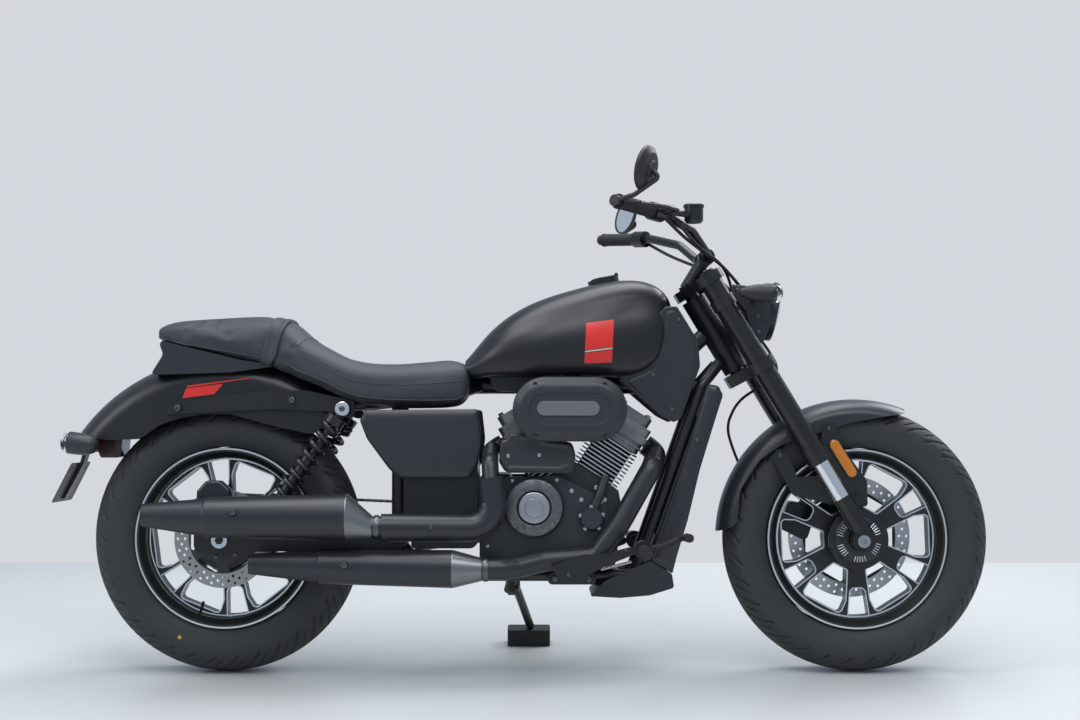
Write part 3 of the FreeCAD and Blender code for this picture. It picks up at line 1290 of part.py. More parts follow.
def lamp_brackets():
    """Plates from the fork tubes forward to the lamp's sides."""
    parts = []
    for side in (-1, 1):
        y = side * (FORK_HALF - TUBE_R - 4)
        plate = side_plate(carried([(424, 900, 8), (444, 916, 8), (556, 898, 14), (562, 852, 14),
                                    (486, 812, 8),
                            (436, 856, 8)], nose_pt),
                           y, y + side * 4)
        band_a = on_fork(LEG, side * FORK_HALF, 640)
        band = rod(band_a, band_a + UP_FORK * 26, TUBE_R + 4)
        spot = LAMP - LAMP_WAY * 8
        bolt = rod(pt(spot.x, side * (LAMP_R - 3.8), spot.z), pt(spot.x, y + side * 8, spot.z), 8)
        stem = rod(nose_pt(506, y, 892), nose_pt(506, side * 130, 904), 6)
        piece = fused(plate, band, bolt, stem)
        piece = piece.cut(rod(band_a - UP_FORK * 30, band_a + UP_FORK * 60, TUBE_R + SEAT))
        parts.append(piece)
    return parts


def front_signals():
    nose = nose_pt(548, 146, 905)
    body = bullet(nose, 86, 22, pt(1, 0, -0.04).normalize())
    hole = rod(nose_pt(506, 60, 886), nose_pt(506, 130 + SEAT, 904), 6 + SEAT)
    return both_sides(body.cut(hole))


# ---------------------------------------------------------------- foot controls
FOOT_Y = 186.0
PEG = pt(236, FOOT_Y, 304)


def step_bracket():
    """Lug on the lower frame rail with a bar out to the step plate, whose arm reaches forward to the peg."""
    y0 = CRADLE_HALF + CRADLE_TUBE_R + SEAT
    lug = Part.makeBox(72, 14, 26, pt(34, y0, RAIL_Z - 13))
    bar = rod(pt(76, y0 + 4, RAIL_Z + 3), pt(76, FOOT_Y + 2, RAIL_Z + 3), 9)
    rows = [(20, 266, 6), (98, 294, 10), (150, 296, 20), (216, 314, 10), (216, 294, 10), (150, 268, 30),
            (108, 246, 14),
            (106, 229, 8), (46, 229, 8)]
    plate = side_plate(rows, FOOT_Y - 6, FOOT_Y + 4)
    boss = rod(PEG - ACROSS * 12, PEG + ACROSS * 8, 22)
    return fused(lug, bar, plate, boss)


def rider_peg():
    start = PEG + ACROSS * (8 + SEAT)
    return fused(rod(start, start + ACROSS * 96, 13), rod(start + ACROSS * 94, start + ACROSS * 102, 16))


def pedal():
    """Foot lever on the boss's inner end, with its pad ahead of the peg."""
    hub = PEG - ACROSS * (12 + SEAT)
    arm = bent_tube([hub - ACROSS * 7, hub - ACROSS * 7 + pt(48, 0, 8), pt(326, FOOT_Y - 18, 330),
                     pt(336, FOOT_Y + 12, 334)],
                    7, 16)
    pad = rod(pt(336, FOOT_Y + 12, 334), pt(338, FOOT_Y + 72, 336), 10)
    return fused(arm, pad, rod(hub, hub - ACROSS * 14, 14))


# ---------------------------------------------------------------- side stand
def ground_pt(x, y, z):
    """Point given in the parked frame, y and z level with the floor, as a point of the machine."""
    a = math.radians(LEAN)
    return pt(x, y * math.cos(a) - z * math.sin(a), y * math.sin(a) + z * math.cos(a))


STAND_PIVOT = pt(-70, 112, 206)
FOOT_FROM = (-88.0, 260.0)
FOOT_SIZE = (110.0, 76.0, 42.0)
STAND_PIN_R = 7.0
FOOT_MIDDLE = ground_pt(FOOT_FROM[0] + 0.5 * FOOT_SIZE[0] + 6, FOOT_FROM[1] + 0.4 * FOOT_SIZE[1],
                        FOOT_SIZE[2])
LEG_WAY = (FOOT_MIDDLE - STAND_PIVOT).normalize()
STOWED = pt(-1, 0.28, 0.0).normalize()
STAND_AXIS = LEG_WAY.cross(STOWED).normalize()


def stand_leg():
    """Leg with an eye that turns on the pin."""
    a = STAND_AXIS
    eye = rod(STAND_PIVOT - a * 9, STAND_PIVOT + a * 9, 17)
    leg = rod(STAND_PIVOT + LEG_WAY * 12, FOOT_MIDDLE - LEG_WAY * 10, 10.5)
    hook = rod(STAND_PIVOT + LEG_WAY * 60, STAND_PIVOT + LEG_WAY * 60 - pt(26, 0, 0), 4)
    leg = fused(eye, leg, hook)
    top = Part.Face(Part.makePolygon([ground_pt(x, y, FOOT_SIZE[2] + SEAT) for x, y in (
        (-200, 100), (200, 100), (200, 420), (-200, 420), (-200, 100))]))
    leg = leg.cut(top.extrude(ground_pt(0, 0, -60)))
    leg = leg.cut(rod(STAND_PIVOT - a * 40, STAND_PIVOT - a * 9, 20))
    leg = leg.cut(rod(STAND_PIVOT + a * 9, STAND_PIVOT + a * 16, 13))
    return leg.cut(rod(STAND_PIVOT - a * 20, STAND_PIVOT + a * 20, STAND_PIN_R + RUN))


def stand_foot():
    """Broad block that carries the leg's end on the floor."""
    x, y = FOOT_FROM
    w, d, h = FOOT_SIZE
    corners = [(ground_pt(x, y, 0), 10), (ground_pt(x + w, y, 0), 10), (ground_pt(x + w, y + d, 0), 10),
               (ground_pt(x, y + d, 0), 10)]
    return Part.Face(corner_wire(corners)).extrude(ground_pt(0, 0, h))


def stand_mount():
    """Lug on the left frame rail with the stand's pin and its stop."""
    a = STAND_AXIS
    inner = rod(STAND_PIVOT - a * 30, STAND_PIVOT - a * 9.3, 19)
    pin = rod(STAND_PIVOT - a * 20, STAND_PIVOT + a * 14, STAND_PIN_R)
    head = rod(STAND_PIVOT + a * 9.3, STAND_PIVOT + a * 15, 12)
    y0 = CRADLE_HALF
    lug = Part.makeBox(56, CRADLE_TUBE_R + 12, 34, pt(STAND_PIVOT.x - 34, y0, RAIL_Z - 22))
    neck = rod(pt(STAND_PIVOT.x - 6, y0 + 5, RAIL_Z - 8), STAND_PIVOT - a * 24, 13)
    arm = fused(lug, neck, inner).cut(rod(STAND_PIVOT - a * 9.3, STAND_PIVOT + a * 30, 20))
    return fused(arm, pin, head)


# ---------------------------------------------------------------- rear brake
def rear_caliper():
    """Caliper above the rear disc on a bracket that the axle passes through."""
    rows = [(-860, 392, 12), (-790, 404, 16), (-716, 392, 12), (-716, 444, 14), (-790, 474, 20),
            (-868, 436, 14)]
    block = side_plate(rows, -66, -97)
    bracket = side_plate([(-838, 330, 14), (-730, 310, 14), (-722, 400, 10), (-850, 400, 10)],
                         -REAR_HUB_HALF - DISC_T - 4.5, -ARM_IN + SEAT)
    slot = turned([(REAR_HUB_HALF - 2, 10), (REAR_HUB_HALF + DISC_T + 2, 10),
                   (REAR_HUB_HALF + DISC_T + 2, REAR_DISC_R + 3),
                   (REAR_HUB_HALF - 2, REAR_DISC_R + 3)], REAR_AXLE, pt(0, -1, 0))
    body = fused(block, bracket).cut(slot)
    return body.cut(rod(REAR_AXLE - ACROSS * 130, REAR_AXLE + ACROSS * 130, AXLE_R + SEAT))


# ---------------------------------------------------------------- assembly
def build():
    """All nodes, upright, as name: list of solids."""
    return {
        "front_tyre": tyre(FRONT_AXLE, FRONT_TYRE_R, FRONT_TYRE_W, FRONT_RIM_HALF),
        "front_rim": rim(FRONT_AXLE, FRONT_RIM_HALF, FRONT_HUB_HALF, 32),
        "front_disc": brake_disc(FRONT_AXLE, FRONT_DISC_R, FRONT_DISC_INNER_R, FRONT_HUB_HALF,
                                 FRONT_HUB_HALF + DISC_T),
        "rear_tyre": tyre(REAR_AXLE, REAR_TYRE_R, REAR_TYRE_W, REAR_RIM_HALF),
        "rear_rim": rim(REAR_AXLE, REAR_RIM_HALF, REAR_HUB_HALF, 37.7),
        "rear_disc": brake_disc(REAR_AXLE, REAR_DISC_R, REAR_DISC_INNER_R, -REAR_HUB_HALF - DISC_T,
                                -REAR_HUB_HALF),
        "rear_sprocket": sprocket(),
        "front_axle": axle_bolt(FRONT_AXLE, FORK_HALF + 23.2, [(FRONT_HUB_HALF + 0.5, FORK_HALF - 23.2, 17),
                                                              (-FORK_HALF + 23.2, -FRONT_HUB_HALF - 0.5,
                                                               17)]),
        "rear_pins": rear_pins(),
        "frame_spine": frame_spine(),
        "frame_cradle": frame_cradle(),
        "swingarm": swingarm(),
        "shock_dampers": shocks(),
        "shock_springs": shock_springs(),
        "rear_fender": rear_fender(),
        "fender_struts": fender_struts(),
        "tail_cowl": tail_cowl(),
        "passenger_seat": passenger_seat(),
        "rider_seat": rider_seat(),
        "tail_bracket": tail_bracket(),
        "tail_lamp": tail_lamp(),
        "number_plate": number_plate(),
        "rear_signals": rear_signals(),
        "fuel_tank": fuel_tank(),
        "fuel_cap_ring": fuel_cap_ring(),
        "fuel_lid": fuel_lid(),
        "crankcase": crankcase(),
        "cylinder_barrels": [cylinder_barrel(FRONT_TILT), cylinder_barrel(-REAR_TILT)],
        "cylinder_heads": [cylinder_head(FRONT_TILT), cylinder_head(-REAR_TILT)],
        "case_covers": [right_cover(), left_cover()],
        "engine_right_covers": [clutch_cover(), pump_housing(), side_cover_low()],
        "air_cleaner": air_cleaner(),
        "cleaner_plate": cleaner_plate(),
        "exhaust_headers": [front_header(), rear_header()],
        "mufflers": mufflers(),
        "muffler_hanger": muffler_hanger(),
        "side_covers": (both_sides(side_panel()) + neck_cover() + radiator_shroud() + spine_trim()
                        + [battery_box()]),
        "radiator": radiator(),
        "chin_fairing": chin_fairing(),
        "chain": chain(),
        "rear_caliper": rear_caliper(),
        "step_brackets": both_sides(step_bracket()),
        "foot_controls": both_sides(rider_peg()) + both_sides(pedal()),
        "fork_legs": fork_tubes() + fork_feet(),
        "stanchions": stanchions(),
        "front_caliper": front_caliper(),
        "fork_yokes": fork_yokes(),
        "front_fender": front_fender(),
        "front_brackets": fender_bracket() + lamp_brackets(),
        "handlebar": handlebar(),
        "bar_clamps": risers() + bar_controls(),
        "grips": grips(),
        "levers": levers(),
        "mirror_housings": mirror_housings(),
        "headlight": headlight(),
        "headlight_lens": headlight_lens(),
        "front_signals": front_signals(),
        "control_cables": control_cables(),
        "stand_leg": stand_leg(),
        "stand_foot": stand_foot(),
    }


def leaned(point):
    """A point of the upright machine, in the parked frame before the origin is moved."""
    return FreeCAD.Rotation(pt(1, 0, 0), -LEAN).multVec(point)


def main():
    nodes = build()
    parked = {}
    whole = FreeCAD.BoundBox()
    for name, shapes in nodes.items():
        shape = Part.makeCompound(shapes) if isinstance(shapes, list) else shapes
        shape.rotate(pt(0, 0, 0), pt(1, 0, 0), -LEAN)
        parked[name] = shape
        whole.add(shape.optimalBoundingBox(False))
    shift = pt(-whole.Center.x, -whole.Center.y, -whole.ZMin)
    os.makedirs("parts", exist_ok=True)
    for name, shape in parked.items():
        shape.translate(shift)
        solids = shape.Solids
        wrong = [s for s in solids if not s.isValid() or s.Volume <= 0]
        if wrong or not solids:
            raise ValueError(name + " has a bad solid")
        out = solids[0] if len(solids) == 1 else Part.makeCompound(solids)
        out.exportStep("parts/" + name + ".step")
        print(name, len(solids), round(out.Volume / 1000.0, 1))
    places = {"front_axle": FRONT_AXLE, "rear_axle": REAR_AXLE, "steer_foot": on_fork(0, 0, 600),
              "stand": STAND_PIVOT,
              "lid": on_cap(Part.Vertex(LID_HINGE_X, 0, LID_HINGE_Z)).Point}
    for name, point in places.items():
        at = leaned(point) + shift
        print("AT", name, [round(v / 1000.0, 6) for v in at])
    for name, way in (("across", ACROSS), ("steer", UP_FORK), ("stand", STAND_AXIS)):
        print("WAY", name, [round(v, 6) for v in leaned(way)])
    print("SIZE", round(whole.XLength, 2), round(whole.YLength, 2), round(whole.ZLength, 2))
    print("SHIFT", [round(v, 4) for v in shift])


main()
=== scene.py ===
import json
import math

import bmesh
import bpy
import numpy as np
from bpy.props import FloatProperty, FloatVectorProperty, IntProperty, PointerProperty
from mathutils import Matrix, Vector
from mathutils.bvhtree import BVHTree


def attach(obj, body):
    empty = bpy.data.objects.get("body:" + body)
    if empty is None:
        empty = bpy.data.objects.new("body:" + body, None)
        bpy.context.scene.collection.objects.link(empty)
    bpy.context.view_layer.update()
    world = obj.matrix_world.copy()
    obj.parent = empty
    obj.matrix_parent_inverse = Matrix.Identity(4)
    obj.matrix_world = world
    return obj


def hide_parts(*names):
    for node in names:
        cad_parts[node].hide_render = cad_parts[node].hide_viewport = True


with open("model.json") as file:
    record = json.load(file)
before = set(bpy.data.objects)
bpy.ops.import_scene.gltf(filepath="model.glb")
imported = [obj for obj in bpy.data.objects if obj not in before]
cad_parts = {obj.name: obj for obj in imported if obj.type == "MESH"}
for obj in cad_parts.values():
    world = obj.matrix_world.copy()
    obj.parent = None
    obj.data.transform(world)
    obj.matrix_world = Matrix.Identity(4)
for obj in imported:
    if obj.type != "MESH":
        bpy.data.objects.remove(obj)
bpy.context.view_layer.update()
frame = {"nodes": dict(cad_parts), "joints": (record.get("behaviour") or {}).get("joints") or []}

bl_info = {
    "name": "Cruiser motorcycle looks",
    "version": (1, 0, 0),
    "blender": (4, 5, 0),
    "location": "3D View > Sidebar > Cruiser",
    "description": "Finishes, seats, tyres and small fittings round the cruiser's CAD frame",
    "category": "Object",
}

# ---------------------------------------------------------------- the machine's own axes
MM = 0.001
JOINTS = {joint["name"]: joint for joint in frame["joints"]}
FORWARD = np.array([1.0, 0.0, 0.0])
ACROSS = np.array(JOINTS["rear_wheel_spin"]["axis"])
ACROSS = ACROSS / np.linalg.norm(ACROSS)
UP = np.cross(FORWARD, ACROSS)
BASIS = np.stack([FORWARD, ACROSS, UP])
FRONT_AXLE = np.array([760.0, 0.0, 320.28])
REAR_AXLE = np.array([-760.0, 0.0, 323.32])
ORIGIN = np.array(JOINTS["front_wheel_spin"]["pos_m"]) - (FRONT_AXLE * MM) @ BASIS
RAKE = math.radians(31.0)
AHEAD = np.array([math.cos(RAKE), 0.0, math.sin(RAKE)])
UP_FORK = np.array([-math.sin(RAKE), 0.0, math.cos(RAKE)])
STEER_FOOT = FRONT_AXLE - AHEAD * 33.0
Y = np.array([0.0, 1.0, 0.0])
CRANK = np.array([76.0, 0.0, 395.0])
CYLINDER_TILTS = (33.0, -31.0)
CLUTCH = np.array([-18.0, -117.0, 400.0])
SPOKES = 6
CROWN_ROWS = 34


def parked(points):
    """Points of the upright machine in millimetres, leaned and moved into the row frame in metres."""
    return ORIGIN + (np.asarray(points, float) * MM) @ BASIS


def on_fork(ahead, left, up):
    """Point ahead of the steering axis, to the left, and up the fork from the axle."""
    return STEER_FOOT + AHEAD * ahead + Y * left + UP_FORK * up


def unit(v):
    """Each vector divided by its length."""
    v = np.asarray(v, float)
    return v / np.linalg.norm(v, axis=-1, keepdims=True)


def tilted(degrees, along, across, y=0.0):
    """Point from the crankshaft along a cylinder's axis, across it toward the front, and to the left."""
    a = math.radians(degrees)
    return CRANK + [along * math.sin(a) + across * math.cos(a), y, along * math.cos(a) - across * math.sin(a)]


# ---------------------------------------------------------------- surfaces
def grid_faces(rows, columns, wrap_rows=False, wrap_columns=False):
    """Quads between neighbouring points of a grid; a wrapped side joins its last line to its first."""
    i = np.arange(rows if wrap_rows else rows - 1)[:, None]
    j = np.arange(columns if wrap_columns else columns - 1)[None, :]
    i2, j2 = (i + 1) % rows, (j + 1) % columns
    return np.stack([i * columns + j, i2 * columns + j, i2 * columns + j2, i * columns + j2], -1).reshape(-1, 4)


def across_pair(way):
    """Two unit vectors square to each way and to each other."""
    way = unit(way)
    guide = np.where(np.abs(way[..., 1:2]) > 0.9, np.array([1.0, 0.0, 0.0]), np.array([0.0, 1.0, 0.0]))
    first = unit(np.cross(way, guide))
    return first, np.cross(way, first)


def lathe(profile, centre, axis, steps=96):
    """Rows of (distance along, radius) turned about an axis: centre + s*axis + r*(cos t*u + sin t*v)."""
    s, r = np.asarray(profile, float).T
    t = np.linspace(0, 2 * math.pi, steps, endpoint=False)[:, None, None]
    u, v = across_pair(unit(axis))
    points = np.asarray(centre) + s[None, :, None] * unit(axis) + r[None, :, None] * (np.cos(t) * u + np.sin(t) * v)
    return points.reshape(-1, 3), grid_faces(steps, len(s), True, False)


def rod(profile, sides):
    """Profile turned about +X at the origin, for copies."""
    return lathe(profile, np.zeros(3), FORWARD, sides)


def ring(profile, centre, axis, steps=96):
    """The same turning for a closed profile, whose last row joins its first."""
    points, _ = lathe(profile, centre, axis, steps)
    return points, grid_faces(steps, len(profile), True, True)


def curve_through(points, count=48):
    """Catmull-Rom curve through points: each span is the cubic whose end slopes are half of the difference between
    the neighbours."""
    p = np.asarray(points, float)
    p = np.concatenate([2 * p[:1] - p[1:2], p, 2 * p[-1:] - p[-2:-1]])
    t = np.linspace(0, len(p) - 3 - 1e-9, count)
    i = t.astype(int)
    t = (t - i)[:, None]
    a, b, c, d = p[i], p[i + 1], p[i + 2], p[i + 3]
    return 0.5 * (2 * b + (c - a) * t + (2 * a - 5 * b + 4 * c - d) * t ** 2 + (3 * b - a - 3 * c + d) * t ** 3)


def tube(path, radius, sides=14):
    """Circle carried along a path: p + r*(cos t*n + sin t*b), with both ends drawn in to a point."""
    path = np.asarray(path, float)
    r = np.broadcast_to(np.asarray(radius, float), (len(path),))
    way = np.gradient(path, axis=0)
    n, b = across_pair(way)
    path = np.concatenate([path[:1], path, path[-1:]])
    n, b = (np.concatenate([x[:1], x, x[-1:]]) for x in (n, b))
    r = np.concatenate([[0.0], r, [0.0]])[:, None, None]
    t = np.linspace(0, 2 * math.pi, sides, endpoint=False)[None, :, None]
    points = path[:, None] + r * (np.cos(t) * n[:, None] + np.sin(t) * b[:, None])
    return points.reshape(-1, 3), grid_faces(len(path), sides, False, True)


def coil(start, end, radius, wire, turns):
    """Helix start + (end - start)*u + r*(cos t*n + sin t*b), t = 2*pi*turns*u, with flattened ends, as a tube."""
    start, end = np.asarray(start, float), np.asarray(end, float)
    u = np.linspace(0, 1, int(turns * 26))
    rise = np.clip((u * turns - 0.7) / (turns - 1.4), 0, 1)[:, None]
    n, b = across_pair(end - start)
    t = (2 * math.pi * turns * u)[:, None]
    return tube(start + (end - start) * rise + radius * (np.cos(t) * n + np.sin(t) * b), wire, 10)


def rounded(rows, steps=5):
    """Closed outline of (x, z, corner radius) rows, each corner an arc between its two tangent points, written as
    the rational quadratic curve whose middle weight is the sine of half the corner's angle."""
    rows = np.asarray(rows, float)
    p, r = rows[:, :2], rows[:, 2:]
    to_last, to_next = unit(np.roll(p, 1, 0) - p), unit(np.roll(p, -1, 0) - p)
    half = 0.5 * np.arccos(np.clip((to_last * to_next).sum(1, keepdims=True), -0.999, 0.999))
    back = r / np.tan(half)
    t = np.linspace(0, 1, steps)[None, :, None]
    a, c, weight = (p + to_last * back)[:, None], (p + to_next * back)[:, None], np.sin(half)[:, None]
    share = [(1 - t) ** 2, 2 * t * (1 - t) * weight, t ** 2]
    points = (share[0] * a + share[1] * p[:, None] + share[2] * c) / (share[0] + share[1] + share[2])
    return points.reshape(-1, 2)


def turning(p):
    """1 for an outline that runs one way round and -1 for the other, from the sign of its area."""
    return np.sign(np.sum(p[:, 0] * np.roll(p[:, 1], -1) - np.roll(p[:, 0], -1) * p[:, 1]))


def shrunk(rows, inset):
    """Outline rows moved inward by d: each corner by d*(m + n)/(1 + m.n), where m and n are its sides' normals, and
    its radius less or more by d at outer or inner corners."""
    rows = np.asarray(rows, float)
    p = rows[:, :2]
    way = unit(np.roll(p, -1, 0) - p)
    last = np.roll(way, 1, 0)
    sense = turning(p)
    out, before = (np.stack([w[:, 1], -w[:, 0]], 1) * sense for w in (way, last))
    bend = np.sign((last[:, 0] * way[:, 1] - last[:, 1] * way[:, 0]) * sense)[:, None]
    moved = p - inset * (out + before) / (1 + (out * before).sum(1, keepdims=True))
    return np.concatenate([moved, np.maximum(rows[:, 2:] - inset * bend, 1.0)], 1)


def offset(outline, distance):
    """Outline moved outward along the mean of its neighbouring sides' normals."""
    way = unit(np.roll(outline, -1, 0) - np.roll(outline, 1, 0))
    return outline + np.stack([way[:, 1], -way[:, 0]], 1) * turning(outline) * distance


def belt(a, ra, b, rb, pitch):
    """Evenly spaced (x, z) points, an even number about a pitch apart, on a belt round two wheels: a straight run
    from a to b, the arc round b, the run back and the arc round a. The runs leave the line of centres by
    asin((rb - ra)/span)."""
    a, b = np.asarray(a, float), np.asarray(b, float)
    span = np.linalg.norm(b - a)
    way = (b - a) / span
    side = np.array([-way[1], way[0]])
    lean = math.asin((rb - ra) / span)
    run = math.sqrt(span ** 2 - (rb - ra) ** 2)
    arc_b, arc_a = (math.pi + 2 * lean) * rb, (math.pi - 2 * lean) * ra
    whole = 2 * run + arc_a + arc_b
    count = int(round(whole / pitch / 2) * 2)
    s = np.arange(count) * whole / count
    over, under = (k * side * math.cos(lean) - way * math.sin(lean) for k in (1, -1))
    out, back = (b + over * rb - a - over * ra) / run, (a + under * ra - b - under * rb) / run
    sense = -np.sign(out[0] * over[1] - out[1] * over[0])

    def arc(centre, radius, normal, length):
        """Points round a wheel, a length on from where its normal leaves the straight run."""
        turn = math.atan2(normal[1], normal[0]) + sense * length / radius
        return centre + radius * np.stack([np.cos(turn), np.sin(turn)], 1)

    starts = [0.0, run, run + arc_b, 2 * run + arc_b]
    parts = [a + over * ra + out * s[:, None], arc(b, rb, over, s - starts[1]),
             b + under * rb + back * (s - starts[2])[:, None], arc(a, ra, under, s - starts[3])]
    return np.choose(np.searchsorted(starts, s, "right")[:, None] - 1, parts)


def side_loop(outline, y):
    """Outline of the side view set at a distance to the left."""
    return np.stack([outline[:, 0], np.full(len(outline), float(y)), outline[:, 1]], 1)


def cap(rows, levels, steps=8):
    """Raised cover: outline rows moved inward by each level's inset and set at its distance to the left; the first
    and last loops are left to be filled."""
    loops = [side_loop(rounded(shrunk(rows, inset), steps), y) for inset, y in levels]
    return np.stack(loops, 0).reshape(-1, 3), grid_faces(len(levels), len(loops[0]), False, True)


def crowned(base, height, inset, steps=7):
    """Levels of a softly domed edge: y = base + height*sin(a) and an inset of inset*(1 - cos a), a from 0 to 90
    degrees."""
    a = np.linspace(0, 0.5 * math.pi, steps)
    return [(0, base)] + [(inset * (1 - math.cos(t)), base + 0.3 + height * math.sin(t)) for t in a]


def merged(*parts):
    """Several (points, faces) surfaces as one."""
    points, faces, base = [], [], 0
    for p, f in parts:
        points.append(p)
        faces.append(f + base)
        base += len(p)
    return np.concatenate(points), np.concatenate(faces)


def mirrored(part):
    """The surface and its reflection in the machine's middle plane."""
    p, f = part
    return merged(part, (p * [1, -1, 1], f[:, ::-1]))


def copies(part, places, ways):
    """One surface, made about the origin along +X, copied to each place and turned to each way."""
    p, f = part
    places, ways = np.atleast_2d(places).astype(float), unit(np.atleast_2d(ways))
    ways = np.broadcast_to(ways, places.shape)
    u, v = across_pair(ways)
    points = places[:, None] + sum(p[None, :, i:i + 1] * axis[:, None] for i, axis in enumerate((ways, u, v)))
    faces = f[None] + (np.arange(len(places)) * len(p))[:, None, None]
    return points.reshape(-1, 3), faces.reshape(-1, f.shape[1])


def piece(name, part, finish, body="chassis", sharp=35.0, fill=False):
    """A mesh object made from a surface in the machine's millimetres, riding on a body; its open loops may be
    filled."""
    points, faces = part
    mesh = bpy.data.meshes.new(name)
    mesh.from_pydata(parked(points).tolist(), [], faces.tolist())
    work = bmesh.new()
    work.from_mesh(mesh)
    bmesh.ops.remove_doubles(work, verts=work.verts, dist=2e-6)
    bmesh.ops.dissolve_degenerate(work, dist=1e-6, edges=work.edges)
    if fill:
        bmesh.ops.holes_fill(work, edges=work.edges, sides=0)
    bmesh.ops.recalc_face_normals(work, faces=work.faces)
    work.to_mesh(mesh)
    work.free()
    mesh.shade_smooth()
    mesh.set_sharp_from_angle(angle=math.radians(sharp))
    obj = bpy.data.objects.new(name, mesh)
    bpy.context.scene.collection.objects.link(obj)
    obj.data.materials.append(FINISHES[finish])
    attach(obj, body)
    return obj


def paint(finish, *nodes):
    """Gives CAD nodes a finish."""
    finish = FINISHES[finish]
    for name in nodes:
        node = frame["nodes"][name]
        if not node.material_slots:
            node.data.materials.append(finish)
        for entry in node.material_slots:
            entry.material = finish


def round_spots(centre, radius, degrees):
    """Points on a circle about an axis along +Y, and their directions (cos t, 0, sin t) from its centre."""
    t = np.radians(np.asarray(degrees, float)).ravel()
    ways = np.stack([np.cos(t), 0 * t, np.sin(t)], 1)
    return np.asarray(centre) + radius * ways, ways


def turned_head(rows, radius, height, size):
    """Bolt head along +X: rows of (share of the height, share of the radius, 1 where the row follows a hexagon of
    that size), turned in 24 steps."""
    along, share, six = np.array(rows).T
    t = np.linspace(0, 2 * math.pi, 24, endpoint=False)[:, None]
    hexagon = size / np.cos((t + math.pi / 6) % (math.pi / 3) - math.pi / 6)
    r = radius * share * np.where(six > 0, hexagon, 1.0)
    points = np.stack([np.broadcast_to(along * height, r.shape), r * np.cos(t), r * np.sin(t)], -1)
    return points.reshape(-1, 3), grid_faces(24, len(rows), True, False)


def button_head(radius):
    """Button head with a hexagon socket."""
    rows = [(0, 1, 0), (0.45, 1, 0), (0.85, 0.84, 0), (1, 0.6, 0), (1, 0.46, 1), (0.45, 0.46, 1), (0.45, 0, 0)]
    return turned_head(rows, radius, 0.62 * radius, 0.9)


def hex_head(radius, height):
    """Six-sided head with a rounded washer face."""
    rows = [(0, 1.25, 0), (0.18, 1.25, 0), (0.2, 1, 1), (0.92, 1, 1), (1, 0.86, 0), (1, 0, 0)]
    return turned_head(rows, radius, height, 0.93)


def side_bolts(rows):
    """Button heads at rows of (x, distance from the middle, z, radius), facing outwards on both sides."""
    return mirrored(merged(*[copies(button_head(r), [(x, y, z)], Y) for x, y, z, r in rows]))


# ---------------------------------------------------------------- shader expressions
class Term:
    """A shader socket in a Python expression: each operator adds the Math node that works it out."""

    def __init__(self, book, socket):
        self.book, self.socket = book, socket

    def math(self, operation, *values):
        return self.book.add("ShaderNodeMath", {"operation": operation}, dict(enumerate(values)))

    def __add__(self, other):
        return self.math("ADD", self, other)

    def __sub__(self, other):
        return self.math("SUBTRACT", self, other)

    def __rsub__(self, other):
        return self.math("SUBTRACT", other, self)

    def __mul__(self, other):
        return self.math("MULTIPLY", self, other)

    def __pow__(self, other):
        return self.math("POWER", self, other)

    def __gt__(self, other):
        return self.math("GREATER_THAN", self, other)

    def __lt__(self, other):
        return self.math("LESS_THAN", self, other)

    def __abs__(self):
        return self.math("ABSOLUTE", self)

    def sin(self):
        return self.math("SINE", self)

    def most(self, other):
        return self.math("MAXIMUM", self, other)

    def ramp(self, low, high):
        """0 below low, 1 above high, straight between."""
        return self.book.add("ShaderNodeMapRange", {"clamp": True}, {0: self, 1: low, 2: high, 3: 0.0, 4: 1.0})

    __radd__ = __add__
    __rmul__ = __mul__


